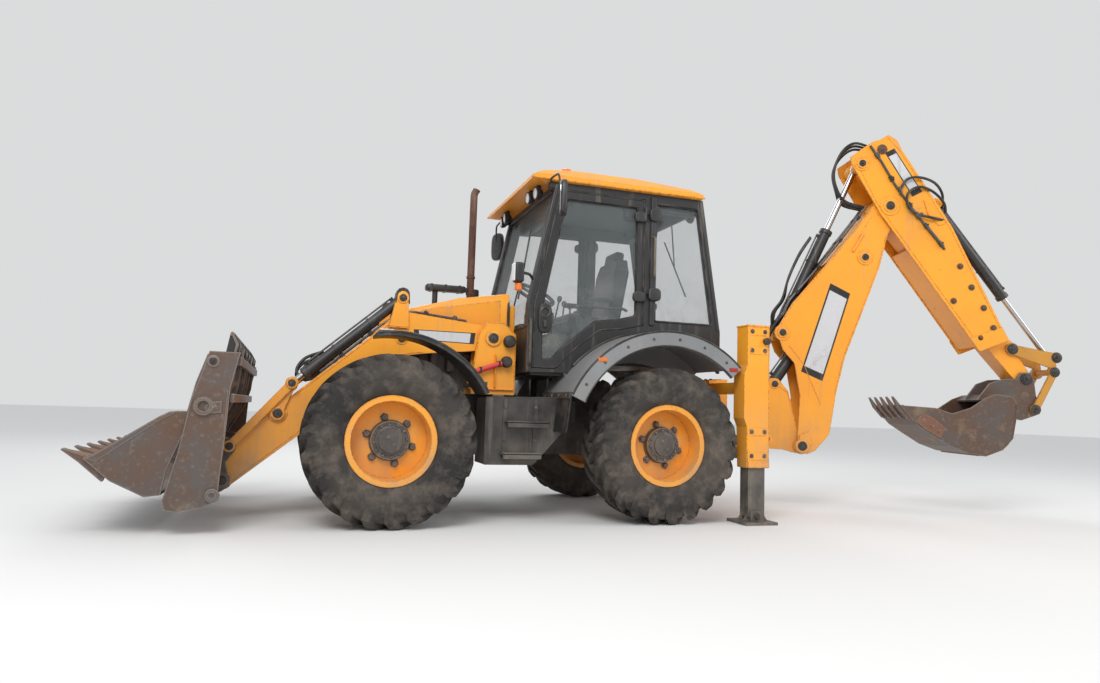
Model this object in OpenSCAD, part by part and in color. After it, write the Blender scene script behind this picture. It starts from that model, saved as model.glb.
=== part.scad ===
// Backhoe loader: four equal steered wheels, a front loader with a clam bucket, a cab,
// and a centre mounted backhoe on a side shift frame with two stabiliser legs.
// Millimetres. +X is the machine's front, +Y its left, +Z up, and the ground is z = 0.
// Sizes are measured from the rear axle's centre, and place() moves it all to the origin.

/* [Wheels] */
// Distance between the axles
wheelbase = 2200; // [2150:10:2260]
// Distance between the wheel centres of one axle
track = 1900; // [1880:5:1940]
// Tyre diameter over the lugs
tyre_od = 1260; // [1220:5:1280]
// Tyre width
tyre_w = 430; // [400:5:440]
// Rim diameter over its flanges
rim_od = 658; // [600:2:700]
// Hub diameter
hub_od = 280; // [240:2:320]

/* [Cab] */
// Outer width over the cab's sides
cab_w = 1460; // [1400:5:1500]
// Thickness of the side walls and of the doors
wall = 50; // [30:1:70]
// Height of the roof's top
roof_top = 2945; // [2920:1:3100]
// Thickness of the glass
glass_t = 8; // [4:1:12]

/* [Loader] */
// Outer width over the loader bucket
bucket_w = 2400; // [2300:10:2600]
// Number of teeth on the bucket's lip
tooth_count = 8; // [4:1:10]
// Middle of each loader arm from the machine's centre line
arm_y = 500; // [495:1:505]
// Thickness of each loader arm
arm_t = 90; // [80:1:96]

/* [Backhoe] */
// Angle that the backhoe is slewed to the left at rest
slew_rest = 20; // [0:1:40]
// Outer width of the boom
boom_w = 330; // [320:1:350]
// Outer width of the dipper
dipper_w = 400; // [390:1:440]
// Width of the digging bucket
hoe_w = 660; // [560:10:800]
// Number of teeth on the digging bucket
hoe_teeth = 5; // [3:1:6]
// Plate thickness of the boom and dipper
plate_t = 16; // [10:1:18]

/* [Stabilisers] */
// Middle of each stabiliser leg from the centre line
leg_y = 1080; // [1070:1:1100]
// Side of the square foot pad
pad = 300; // [220:5:320]

/* [Clearances] */
// Radial running clearance of a pin in its bore
fit = 0.05; // [0.02:0.01:0.1]
// Gap that keeps moving pieces apart
gap = 6; // [5:0.5:8]
// Small gap between pieces that seat on each other
seat_gap = 0.3; // [0.2:0.05:0.5]

/* [Hidden] */
$fn = 48;

// The finished model's origin lies this far behind the rear axle's centre
origin_x = 60;
axle_z = tyre_od / 2;
kingpin_y = track / 2 - 210;
rim_r = rim_od / 2;
hub_r = hub_od / 2;

yellow = "orange";
black = "#26282a";
grey = "#8b8f92";
steel = "#77695c";
chrome = "silver";

// Loader pins, as [x, z]
arm_pivot = [1348, 1462];
lift_base = [1700, 520];
lift_eye = [2090, 1423];
tilt_base = [2097, 1745];
lever_pivot = [2990, 800];
lever_top = [2901, 1030];
bucket_pivot = [3345, 300];
bucket_link = [3310, 550];
clam_pivot = [3400, 1140];

// Backhoe pins, as [reach behind the slew pin, height]
slew_x = -1500;
boom_foot = [457, 613];
boom_ram_low = [200, 1215];
boom_ram_high = [1078, 2506];
horn_pin = [263, 1726];
dipper_pivot = [1315, 3028];
bucket_pin = [2655, 1335];
// Pins on the dipper, as [along it, behind it] from the dipper pivot
crowd_pin_sn = [-506, 51];
hoe_ram_sn = [269, 450];
tip_pivot_sn = [1850, 83];
tip_ram_sn = [2171, 372];
tip_link_sn = [2261, 251];
hitch_link_sn = [2434, -128];

dip_span = norm(bucket_pin - dipper_pivot);
dip_u = (bucket_pin - dipper_pivot) / dip_span;

// A point on the dipper as [reach, height], and pin places in that form
function on_dipper(p) = dipper_pivot + dip_u * p[0] + [-dip_u[1], dip_u[0]] * p[1];
crowd_pin = on_dipper(crowd_pin_sn);
hoe_ram_low = on_dipper(hoe_ram_sn);
tip_pivot = on_dipper(tip_pivot_sn);
tip_ram = on_dipper(tip_ram_sn);
tip_top = on_dipper(tip_link_sn);
hitch_link = on_dipper(hitch_link_sn);

// Points of the backhoe as [x, z]
function back(points) = [for (p = points) [-p[0], p[1]]];
function back_dip(points) = back([for (p = points) on_dipper(p)]);
function bk(p) = [-p[0], p[1]];

module place() translate([origin_x, 0, 0]) children();

// The backhoe's own frame, with the slew pin at x = 0
module hoe() place() translate([slew_x, 0, 0]) rotate([0, 0, -slew_rest]) children();

module both_sides() {
  children();
  mirror([0, 1, 0]) children();
}

// A flat plate: outline as [x, z] points, from y0 to y1
module plate(points, y0, y1)
  translate([0, y1, 0]) rotate([90, 0, 0]) linear_extrude(y1 - y0) polygon(points);

// A round bar along Y with its centre at p = [x, z]
module bar(p, r, y0, y1)
  translate([p[0], y0, p[1]]) rotate([-90, 0, 0]) cylinder(r = r, h = y1 - y0);

// An upright box between two corners
module block(a, b) translate(a) cube(b - a);

// A ring sector about the axle at x, from angle a0 to a1 above the ground line
module arch(x, r0, r1, a0, a1, y0, y1)
  translate([x, y1, axle_z]) rotate([90, 0, 0]) linear_extrude(y1 - y0)
    difference() {
      intersection() {
        circle(r = r1, $fn = 96);
        polygon(concat([[0, 0]], [for (i = [0:6]) let (a = a0 + (a1 - a0) * i / 6) 1.2 * r1 * [cos(a), sin(a)]]));
      }
      circle(r = r0, $fn = 96);
    }

// A flat link with a round eye about each of two pins
module link_bar(a, b, ra, rb, y0, y1) {
  d = (b - a) / norm(b - a);
  side = [-d[1], d[0]] * min(ra, rb) * 0.7;
  translate([0, y1, 0]) rotate([90, 0, 0]) linear_extrude(y1 - y0) {
    translate(a) circle(r = ra);
    translate(b) circle(r = rb);
    polygon([a + side, b + side, b - side, a - side]);
  }
}

// Cylinders lie from pin a towards pin b: the barrel ends short of the closed rod's eye
module ram_barrel(a, b, y, r, rod_r, closed, eye) {
  long = closed - 2 * eye;
  translate([a[0], y, a[1]]) rotate([0, atan2(b[0] - a[0], b[1] - a[1]), 0])
    difference() {
      union() {
        translate([0, 0, eye * 0.5]) cylinder(r = r, h = long - eye * 0.5);
        translate([0, -eye * 0.7, 0]) rotate([-90, 0, 0]) cylinder(r = eye, h = eye * 1.4);
        translate([0, 0, long - 40]) cylinder(r = r + 6, h = 40);
      }
      translate([0, 0, 2.2 * eye]) cylinder(r = rod_r + fit, h = long);
    }
}

module ram_rod(a, b, y, rod_r, closed, eye) {
  out = norm(b - a);
  inner = out - closed + 2.3 * eye;
  translate([a[0], y, a[1]]) rotate([0, atan2(b[0] - a[0], b[1] - a[1]), 0]) {
    translate([0, 0, inner]) cylinder(r = rod_r, h = out - inner - eye * 0.5);
    translate([0, -eye * 0.7, out]) rotate([-90, 0, 0]) cylinder(r = eye, h = eye * 1.4);
  }
}

// Running gear

// Tread lugs round one side of the tyre, and how high they stand
lug_count = 20;
lug_h = 32;

module tyre() color(black) {
  body_r = tyre_od / 2 - lug_h;
  rotate_extrude($fn = 40) polygon([
    [rim_r - 24, -tyre_w * 0.36], [rim_r + 4, -tyre_w * 0.36], [rim_r + 90, -tyre_w * 0.48],
    [rim_r + 180, -tyre_w * 0.5], [body_r, -tyre_w * 0.40], [body_r, tyre_w * 0.40], [rim_r + 180, tyre_w * 0.5],
    [rim_r + 90, tyre_w * 0.48], [rim_r + 4, tyre_w * 0.36], [rim_r - 24, tyre_w * 0.36]
  ]);
  for (side = [-1, 1], i = [0:lug_count - 1])
    rotate([0, 0, (i + side / 4) * 360 / lug_count]) lug(side);
}

// One lug: a bar from the shoulder that leans on its way to the middle of the tread
module lug(side) translate([tyre_od / 2 - lug_h / 2 - 8, 0, side * tyre_w * 0.185]) rotate([side * 16, 0, 0])
  cube([lug_h + 16, 54, tyre_w * 0.37], center = true);

// Distance of the hub's inner face behind the wheel's centre plane
hub_in = 90;
spindle_r = 60;

module rim() color(yellow) difference() {
  union() {
    rotate_extrude($fn = 96) polygon([
      [hub_r - 5, 0], [hub_r + 50, 0], [rim_r - 60, -30], [rim_r - 42, -tyre_w * 0.36 - 8],
      [rim_r, -tyre_w * 0.36 - 8], [rim_r, -tyre_w * 0.36 - 0.01], [rim_r - 24, -tyre_w * 0.36],
      [rim_r - 24, tyre_w * 0.36], [rim_r, tyre_w * 0.36 + 0.01], [rim_r, tyre_w * 0.36 + 8],
      [rim_r - 42, tyre_w * 0.36 + 8], [rim_r - 50, 0], [hub_r + 50, 16], [hub_r - 5, 16]
    ]);
    translate([0, 0, -hub_in]) cylinder(r = hub_r, h = hub_in + 70);
    translate([0, 0, 60]) cylinder(r = hub_r * 0.6, h = 40);
  }
  translate([0, 0, -hub_in - 1]) cylinder(r = spindle_r + fit, h = hub_in - 10);
}

// Wheel pieces are drawn with +Z outboard and set on their side of an axle
module at_wheel(x, side)
  place() translate([x, side * track / 2, axle_z]) rotate([-side * 90, 0, 0]) children();

module knuckle(x, side) place() translate([x, 0, axle_z]) scale_side(side) color(black) {
  difference() {
    union() {
      bar([0, 0], 100, kingpin_y, track / 2 - hub_in - gap);
      translate([0, kingpin_y, -150]) cylinder(r = 75, h = 300);
      block([-190, kingpin_y - 30, -40], [0, kingpin_y + 40, 0]);
    }
    translate([0, kingpin_y, -151]) cylinder(r = 35 + fit, h = 61);
    translate([0, kingpin_y, 90]) cylinder(r = 35 + fit, h = 61);
  }
  bar([0, 0], spindle_r, track / 2 - hub_in - 20, track / 2 - 14);
}

module scale_side(side) if (side > 0) children(); else mirror([0, 1, 0]) children();

module axle(x) place() translate([x, 0, axle_z]) color(black) {
  both_sides() {
    bar([0, 0], 75, 0, kingpin_y - 100);
    block([-70, kingpin_y - 120, -195], [70, kingpin_y - 90, 195]);
    block([-60, 160, 0], [60, 190, 120]);
    for (s = [-1, 1]) {
      translate([0, 0, s * 175]) block([-70, kingpin_y - 120, -20], [70, kingpin_y + 60, 20]);
      translate([0, kingpin_y, s * 130 - 27]) cylinder(r = 35, h = 54);
    }
  }
  translate([0, 0, 0]) rotate([-90, 0, 0]) translate([0, 0, -150]) cylinder(r1 = 120, r2 = 190, h = 150);
  rotate([-90, 0, 0]) cylinder(r1 = 190, r2 = 120, h = 150);
  bar([-150, -20], 40, -240, 240);
  block([-160, -60, -60], [0, 60, 20]);
}

module axle_housings() {
  axle(0);
  axle(wheelbase);
}

// Chassis

frame_y = 300;
rail_t = 24;

tow_at = [2495, 910];
tow_r = 20;

module main_frame() place() color(black) {
  difference() {
    union() {
      translate([tow_at[0], 0, tow_at[1] - 15]) cylinder(r = 42, h = 30);
      block([2430, -35, tow_at[1] - 15], [tow_at[0], 35, tow_at[1] + 15]);
      both_sides() plate([
        [-800, 860], [-800, 960], [400, 960], [1100, 1000], [2300, 1000], [2460, 940], [2460, 800],
        [2000, 780], [1760, 640], [1760, 480], [1640, 480], [1600, 720], [500, 780], [-500, 860]
      ], frame_y, frame_y + rail_t);
      for (x = [-780, -420, 540, 1000, 1560, 2380])
        block([x, -frame_y, 870], [x + 60, frame_y, 950]);
    }
    translate([tow_at[0], 0, tow_at[1] - 16]) cylinder(r = tow_r, h = 32);
  }
  block([400, -230, 500], [1250, 230, 880]);
  both_sides() {
    for (x = [850, 1350]) block([x, frame_y, 880], [x + 60, 510, 940]);
    block([700, frame_y - 60, 930], [760, frame_y, floor_z - 30]);
    block([-600, frame_y - 60, 890], [-540, frame_y, seat_floor - 30]);
  }
  both_sides() for (x = [0, wheelbase]) {
    block([x - 60, 160, axle_z + 120], [x + 60, 190, 900]);
    block([x - 60, 190, 880], [x + 60, frame_y, 900]);
  }
  both_sides() bar(lift_base, 26, frame_y, lift_y + 42);
}

module engine_block() place() color(grey)
  block([1260, -240, 950], [1940, 240, 1560]);

tower_front = 1520;

module loader_towers() place() color(yellow) both_sides() {
  inner = arm_y - arm_t / 2 - gap - 24;
  outer = arm_y + arm_t / 2 + gap;
  plate([[1150, 1001], [1150, 1500], [1260, 1600], [1400, 1600], [1470, 1500], [tower_front, 1120], [tower_front, 1001]],
    inner, inner + 24);
  plate([[1150, 1030], [1150, 1500], [1260, 1600], [1400, 1600], [1470, 1500], [tower_front, 1120], [tower_front, 1030]],
    outer, outer + 24);
  block([1150, frame_y, 1000], [tower_front, outer + 24, 1040]);
  block([1150, inner, 1030], [1170, outer + 24, 1400]);
  bar(arm_pivot, 40, inner, outer + 34);
}

module side_tanks() place() color(black) both_sides()
  plate([[800, 720], [800, 990], [1450, 970], [1450, 450], [1050, 450]], 510, 830);

leg_x = -807;
leg_long = 158;
leg_wide = 120;
leg_top = 1200;
// A guide collar on the leg runs in the housing
guide = 3;
sleeve_x = leg_long / 2 + guide + seat_gap;
sleeve_y = leg_wide / 2 + guide + seat_gap;
tie_r = 22.5;
tie_at = [-950, 700];

module rear_frame() place() {
  color(black) both_sides() plate([[-800, 500], [-800, 1180], [-640, 1180], [-640, 960], [-700, 500]],
    frame_y + rail_t + seat_gap, frame_y + rail_t + 15);
  color(yellow) {
    for (z = [520, 1080]) block([-940, -leg_y + 80, z], [-800, leg_y - 80, z + 100]);
    both_sides() difference() {
      plate([[-910, 460], [-710, 460], [-700, 800], [-670, 870], [-670, 1240], [-700, 1320], [-700, 1650], [-910, 1650]],
        leg_y - 80, leg_y + 80);
      block([leg_x - sleeve_x, leg_y - sleeve_y, 400], [leg_x + sleeve_x, leg_y + sleeve_y, 1625]);
    }
    both_sides() difference() {
      union() {
        bar(tie_at, 45, leg_y - 12, leg_y + 12);
        block([-950, leg_y - 12, 655], [-900, leg_y + 12, 745]);
      }
      bar(tie_at, tie_r, leg_y - 13, leg_y + 13);
    }
  }
}

// Cab

cab_y = cab_w / 2;
floor_z = 1200;
door_front = 1050;
door_rear = 66;
seat_floor = 1330;

module cab_side_outline() difference() {
  cab_side_sheet();
  translate([0, axle_z]) circle(r = fender_r + seat_gap, $fn = 96);
}

module cab_side_sheet() polygon([
  [1100, 1190], [1100, 1750], [885, 2800], [-500, 2800], [-690, 1620], [-690, 1250]
]);

module door_outline() polygon([
  [door_front, 1230], [door_front, 1750], [850, 2740], [door_rear, 2740], [door_rear, 1640],
  [280, 1590], [460, 1572], [570, 1490], [650, 1428], [745, 1340], [850, 1230]
]);

module rear_window_outline() polygon([[-40, 2720], [-450, 2720], [-610, 1680], [-40, 1680]]);

module side_wall(y0, y1) translate([0, y1, 0]) rotate([90, 0, 0]) linear_extrude(y1 - y0) children();

module cab_frame() place() color(black) {
  both_sides() {
    side_wall(cab_y - wall, cab_y) difference() {
      cab_side_outline();
      offset_door();
      rear_window_outline();
    }
    for (z = [1850, 2550]) translate([door_rear - 4, cab_y + 12, z + 60 + seat_gap]) cylinder(r = 11, h = 60);
    for (z = [1850, 2550]) block([door_rear - 40, cab_y, z + 61], [door_rear - 4, cab_y + 12, z + 119]);
  }
  inside = cab_y - wall;
  plate([[885, 2800], [895, 2750], [845, 2750], [835, 2800]], -inside, inside);
  plate([[1100, 1190], [1100, 1560], [1050, 1560], [1050, 1190]], -inside, inside);
  plate([[-500, 2800], [-508, 2750], [-458, 2750], [-450, 2800]], -inside, inside);
  // The floor stops where the rear fender comes up through it
  floor_start = sqrt((fender_r + seat_gap) ^ 2 - (floor_z - 30 - axle_z) ^ 2);
  block([610, -well_y, floor_z - 30], [1050, well_y, floor_z]);
  both_sides() block([floor_start, well_y, floor_z - 30], [1050, inside, floor_z]);
  plate([[640, seat_floor - 30], [640, floor_z - 30], [610, floor_z - 30], [610, seat_floor - 30]], -well_y, well_y);
  block([-640, -well_y, seat_floor - 30], [640, well_y, seat_floor]);
  plate([[-690, seat_floor - 30], [-690, 1620], [-660, 1620], [-660, seat_floor - 30]], -inside, inside);
}

// The door's outline grown by the running gap on each side
module offset_door() polygon([
  [door_front + gap, 1230 - gap], [door_front + gap, 1750], [850 + gap, 2740 + gap], [door_rear - gap, 2740 + gap],
  [door_rear - gap, 1640 - gap], [279, 1590 - gap], [457, 1572 - gap], [566, 1490 - 5], [646, 1428 - 5],
  [741, 1340 - 5], [848, 1230 - gap]
]);

module door_window() polygon([
  [980, 1300], [980, 1745], [795, 2670], [130, 2670], [130, 1710], [300, 1665], [500, 1640], [690, 1480], [800, 1390], [880, 1300]
]);

module door() color(black) {
  side_wall(cab_y - wall, cab_y) difference() {
    door_outline();
    door_window();
  }
  for (z = [1850, 2550]) {
    translate([door_rear - 4, cab_y + 12, z]) cylinder(r = 11, h = 60);
    block([door_rear - 4, cab_y, z], [door_rear + 60, cab_y + 20, z + 60]);
  }
}

module door_glass() color("lightblue") side_wall(cab_y - wall / 2 - glass_t / 2, cab_y - wall / 2 + glass_t / 2) door_window();

module cab_roof() place() color(yellow) difference() {
  roof_solid();
  block([-440, -cab_y + 90, 2790], [870, cab_y - 90, 2870]);
}

module roof_solid() intersection() {
  plate([[-480, 2800], [-490, 2840], [-400, 2890], [100, roof_top], [700, roof_top], [990, 2900], [1110, 2830], [1110, 2800]],
    -cab_y - 30, cab_y + 30);
  translate([-600, 0, 0]) rotate([90, 0, 90]) linear_extrude(1800)
    polygon([[-cab_y - 30, 2800], [-cab_y - 30, 2850], [-cab_y + 90, roof_top], [cab_y - 90, roof_top],
      [cab_y + 30, 2850], [cab_y + 30, 2800]]);
}

module cab_glass() place() color("lightblue") {
  inside = cab_y - wall;
  both_sides() side_wall(cab_y - wall / 2 - glass_t / 2, cab_y - wall / 2 + glass_t / 2) rear_window_outline();
  plate([[1090, 1560], [1090, 1748], [885, 2750], [885 - glass_t, 2750], [1090 - glass_t, 1748], [1090 - glass_t, 1560]], -inside, inside);
  plate([[-660, 1620], [-500, 2750], [-500 + glass_t, 2750], [-660 + glass_t, 1620]], -inside, inside);
}

module cab_interior() place() color(black) {
  block([880, -300, floor_z], [1040, 300, 1560]);
  plate([[760, floor_z], [900, floor_z], [900, 1750], [860, 1890], [820, 1870], [840, 1700]], -60, 60);
  translate([830, 0, 1930]) rotate([0, -25, 0]) {
    difference() {
      cylinder(r = 200, h = 26);
      translate([0, 0, -1]) cylinder(r = 174, h = 28);
    }
    block([-180, -16, 4], [180, 16, 22]);
    block([-16, -180, 4], [16, 180, 22]);
    translate([0, 0, -60]) cylinder(r = 34, h = 84);
  }
  both_sides() block([-400, 300, seat_floor], [560, well_y, 1700]);
  // Roof lining: rails under the roof's rim, and a panel between them
  rail = cab_y - wall - 10;
  both_sides() block([-430, rail - 70, 2728], [820, rail, 2800 - seat_gap]);
  for (x = [-430, 720]) block([x, -rail + 60, 2728], [x + 100, rail - 60, 2780]);
  block([-430, -rail + 60, 2765], [820, rail - 60, 2785]);
  // Console of the digging arm's levers
  block([-380, -220, seat_floor], [-280, 220, 1430]);
}

module driver_seat() place() color("#3a3a3c") {
  block([120, -210, seat_floor], [420, 210, 1620]);
  plate([[40, 1620], [560, 1620], [580, 1690], [560, 1740], [60, 1740]], -240, 240);
  plate([[60, 1740], [180, 1740], [130, 2180], [90, 2300], [0, 2300], [-20, 2180]], -220, 220);
}

// The rear wheel arches, which the cab's sides stand on
fender_r = 930;
fender_lip = 800;
fender_a0 = 24;
fender_a1 = 135;
well_y = 400;

module rear_fenders() place() color(grey) both_sides() {
  arch(0, fender_r - 25, fender_r, fender_a0, fender_a1, well_y, 1140);
  arch(0, fender_lip, fender_r, fender_a0, fender_a1, 1110, 1140);
  arch(0, 700, fender_r, fender_a0, fender_a1, well_y, well_y + 12);
}

module front_fenders() place() color(black) both_sides() {
  arch(wheelbase, 765, 790, 80, 152, 760, 1130);
  arch(wheelbase, 755, 790, 80, 152, 1130, 1150);
  block([tower_front, arm_y - arm_t / 2 - gap - 24, 1052], [tower_front + 30, 790, 1082]);
  block([tower_front, 760, 1052], [wheelbase - sqrt(777 ^ 2 - (1067 - axle_z) ^ 2), 1140, 1082]);
}

stack_at = [1370, -285];
stack_r = 34;
silencer_leg = [1700, -285];

module exhaust_stack() place() color(black) {
  translate(concat(stack_at, 1440)) cylinder(r = stack_r, h = 1500);
  block([1340, -300, 1440], [1400, -240, 1500]);
  block([1380, -335, 1945], [1790, -235, 2010]);
  translate(concat(silencer_leg, 1560)) cylinder(r = 25, h = 400);
}

grille_bars = 9;

module nose_grille() place() color(black) {
  block([1990, -330, 1000], [2015, 330, hood_base - seat_gap]);
  for (i = [0:grille_bars - 1]) {
    z = 1030 + i * 360 / (grille_bars - 1);
    plate([[2015, z], [2040, z + 6], [2040, z + 14], [2015, z + 18]], -315, 315);
  }
  for (y = [-322, -108, 108, 322]) block([2015, y - 8, 1005], [2036, y + 8, 1425]);
}

hood_base = 1430;
hood_split = -235;
hood_outline = [[2060, hood_base], [2050, 1640], [2000, 1700], [1600, 1810], [1160, 1885], [1160, hood_base]];
hood_inside = [[2030, 1400], [2020, 1630], [1990, 1670], [1600, 1780], [1150, 1855], [1150, 1400]];

hood_half = 350;
hood_pin = [1190, 1860];
hood_round = 56;

// The hood's block from a join to its outer edge, with the shoulder rounded in steps
module hood_block(outline, join, edge, round_off) hull()
  for (a = [0, 30, 60, 90])
    plate([for (p = outline) [p[0], p[1] > hood_base + 100 ? p[1] - round_off * (1 - cos(a)) : p[1]]],
      join, edge - round_off * (1 - sin(a)));

// The fixed cover on the right, which the exhaust passes through, and the cowl before the cab
module side_cowl() place() color(yellow) {
  difference() {
    mirror([0, 1, 0]) hood_block(hood_outline, -hood_split + gap, hood_half, hood_round);
    mirror([0, 1, 0]) hood_block(hood_inside, -hood_split - 1, hood_half - 30, hood_round - 20);
    translate(concat(stack_at, 1500)) cylinder(r = stack_r + seat_gap, h = 500);
    translate(concat(silencer_leg, 1500)) cylinder(r = 25 + seat_gap, h = 500);
  }
  block([1190, -335, 1040 + seat_gap], [1230, -310, hood_base]);
  block([1940, -335, 1000], [1990, -310, hood_base]);
  block([1100, -340, 1300], [1150, 340, 1780]);
}

module hood() place() color(yellow) difference() {
  hood_block(hood_outline, hood_split, hood_half, hood_round);
  hood_block(hood_inside, hood_split - 1, hood_half - 30, hood_round - 20);
  // Bore of the hinge pin
  bar(hood_pin, 8, hood_split - 1, hood_half + 1);
}

lamp_r = 55;

// A round work lamp that looks along +X
module work_lamp() rotate([0, 90, 0]) {
  cylinder(r1 = lamp_r * 0.5, r2 = lamp_r, h = 30);
  translate([0, 0, 29]) cylinder(r = lamp_r, h = 39);
}

module lamps() place() color("white") {
  both_sides() {
    // Front pair on brackets under the roof, rear pair on the cab's rear header
    for (y = [380, 560]) translate([960, y, 2735]) work_lamp();
    for (y = [380, 560]) block([980, y - 18, 2765], [1010, y + 18, 2800 - seat_gap]);
    for (y = [390, 560]) translate([-518, y, 2735]) rotate([0, 0, 180]) work_lamp();
    for (y = [390, 560]) plate([[-507.2, 2757], [-503.6, 2780], [-535, 2780], [-535, 2757]], y - 18, y + 18);
    // Road lamp and indicator on the front post
    block([1175, 750, 1905], [1260, 850, 2070]);
    translate([1212, 800, 1842]) cylinder(r = 30, h = 64);
    block([1064, cab_y + seat_gap, 1950], [1090, 812, 1990]);
    block([1064, 788, 1950], [1180, 812, 1990]);
  }
  translate([700, 420, roof_top]) cylinder(r = 66, h = 20);
  translate([700, 420, roof_top + 20]) cylinder(r1 = 54, r2 = 46, h = 45);
  translate([700, 420, roof_top + 64]) cylinder(r1 = 46, r2 = 20, h = 16);
}

mirror_at = [940, 1035, 2580];

// The two mirrors, each on an arm from the cab's front top corner
module mirrors() place() color(black) both_sides() {
  block([890, cab_y + seat_gap, 2745], [950, 800, 2770]);
  block([940, 790, 2755], [962, mirror_at[1] + 11, 2777]);
  block([940, mirror_at[1] - 11, 2560], [962, mirror_at[1] + 11, 2760]);
  translate(mirror_at) rotate([0, 0, -18]) intersection() {
    block([-28, -95, -145], [26, 95, 145]);
    rotate([0, 90, 0]) translate([0, 0, -28]) scale([1.35, 0.9, 1]) cylinder(r = 122, h = 60, $fn = 32);
  }
}

// Loader

lift_y = arm_y - arm_t / 2 - 57;
lift_end = 44;
tilt_r = 40;

module loader_arms() place() color(yellow) {
  y0 = arm_y - arm_t / 2;
  y1 = arm_y + arm_t / 2;
  both_sides() {
    difference() {
      union() {
        plate([[1348, 1560], [2060, 1636], [2140, 1620], [2303, 1450], [3297, 593], [3400, 400], [3425, 300],
          [3345, 222], [3290, 262], [2820, 646], [2114, 1277], [1900, 1310], [1348, 1366]], y0, y1);
        bar(arm_pivot, 98, y0, y1);
      }
      bar(arm_pivot, 40 + fit, y0 - 1, y1 + 1);
      bar(bucket_pivot, 35 + fit, y0 - 1, y1 + 1);
      bar(lever_pivot, 30 + fit, y0 - 1, y1 + 1);
    }
    for (y = [y0 - 18, y1]) plate([[2040, 1500], [2055, 1800], [2140, 1800], [2200, 1500]], y, y + 18);
    bar(tilt_base, 20, y0 - 10, y1 + 10);
    bar(lift_eye, 40, lift_y + 0.7 * lift_end + gap, y0);
  }
  bar([2700, 860], 80, -y0, y0);
}

// The closed length of the rams, and where the lift rams stand
lift_closed = 940;
tilt_closed = 1040;

module lift_barrels() place() color(black) both_sides() difference() {
  ram_barrel(lift_base, lift_eye, lift_y, 46, 28, lift_closed, lift_end);
  bar(lift_base, 26 + fit, 0, arm_y);
}
module lift_rods() place() color(chrome) both_sides()
  ram_rod(lift_base, lift_eye, lift_y, 28, lift_closed, lift_end);
module tilt_barrels() place() color(black) both_sides() difference() {
  ram_barrel(tilt_base, lever_top, arm_y, tilt_r, 25, tilt_closed, 36);
  bar(tilt_base, 20 + fit, 0, 2 * arm_y);
}
module tilt_rods() place() color(chrome) both_sides()
  ram_rod(tilt_base, lever_top, arm_y, 25, tilt_closed, 36);

// The levers straddle the arms on both sides and hang on a pin through them
lever_gap = 6;
lever_t = 18;

module tilt_levers() place() color(yellow) both_sides() {
  y0 = arm_y - arm_t / 2 - lever_gap;
  y1 = arm_y + arm_t / 2 + lever_gap;
  link_bar(lever_pivot, lever_top, 55, 45, y0 - lever_t, y0);
  link_bar(lever_pivot, lever_top, 55, 45, y1, y1 + lever_t);
  bar(lever_pivot, 30, y0, y1);
  for (s = [y0 - lever_t - 30, y1 + lever_t]) bar(lever_top, 25, s, s + 30);
}

module tilt_links() place() color(yellow) both_sides() {
  y0 = arm_y - arm_t / 2 - lever_gap - lever_t - 6;
  y1 = arm_y + arm_t / 2 + lever_gap + lever_t + 6;
  for (s = [y0 - 18, y1]) difference() {
    link_bar(lever_top, bucket_link, 48, 44, s, s + 18);
    bar(lever_top, 25 + fit, s - 1, s + 19);
  }
}

// The bucket's back wall: rear face from the heel up, then front face down again
blade = [[3640, 212], [3600, 160], [3480, 215], [3455, 400], [3450, 640], [3330, 860], [3300, 1000], [3280, 1200],
  [3297, 1204], [3318, 1004], [3348, 872], [3468, 652], [3475, 410], [3500, 235], [3596, 190], [3630, 240]];
jaw_pin = 25;
side_t = 22;

rib_spots = [-0.72, -0.24, 0.24, 0.72];

module loader_bucket() place() color(steel) {
  half = bucket_w / 2;
  plate(blade, -half + side_t, half - side_t);
  // Guard over the jaw's top edge, on ribs up the back
  for (s = rib_spots) plate([[3452, 640], [3330, 846], [3292, 1000], [3276, 1190], [3290, 1196], [3284, 1332],
    [3250, 1264], [3238, 1176], [3256, 985], [3300, 830], [3424, 610]], s * half - 8, s * half + 8);
  plate([[3280, 1202], [3266, 1202], [3252, 1262], [3288, 1332], [3302, 1328], [3270, 1260]], -half + side_t, half - side_t);
  bar([3296, 1330], 14, -half + side_t, half - side_t);
  both_sides() difference() {
    bar([3440, 842], 58, half - 1, half + 22);
    bar([3440, 842], 36, half - 2, half + 23);
  }
  both_sides() {
    plate([
      [3427, 1207], [3236, 1206], [3285, 963], [3298, 644], [3313, 408], [3322, 230], [3401, 186], [3553, 155],
      [3633, 167], [3648, 232], [3569, 551], [3535, 796], [3494, 966], [3460, 1081]
    ], half - side_t, half);
    bar(clam_pivot, jaw_pin, half - 2 * side_t - gap, half - side_t);
    y0 = arm_y - arm_t / 2 - lever_gap;
    y1 = arm_y + arm_t / 2 + lever_gap;
    for (s = [y0 - lever_t, y1]) plate([
      [3290, 260], [3345, 220], [3400, 200], [3478, 225], [3456, 620], [3340, 610], [3262, 580], [3268, 520], [3330, 430]
    ], s, s + lever_t);
    bar(bucket_pivot, 35, y0, y1);
  }
}

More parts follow.
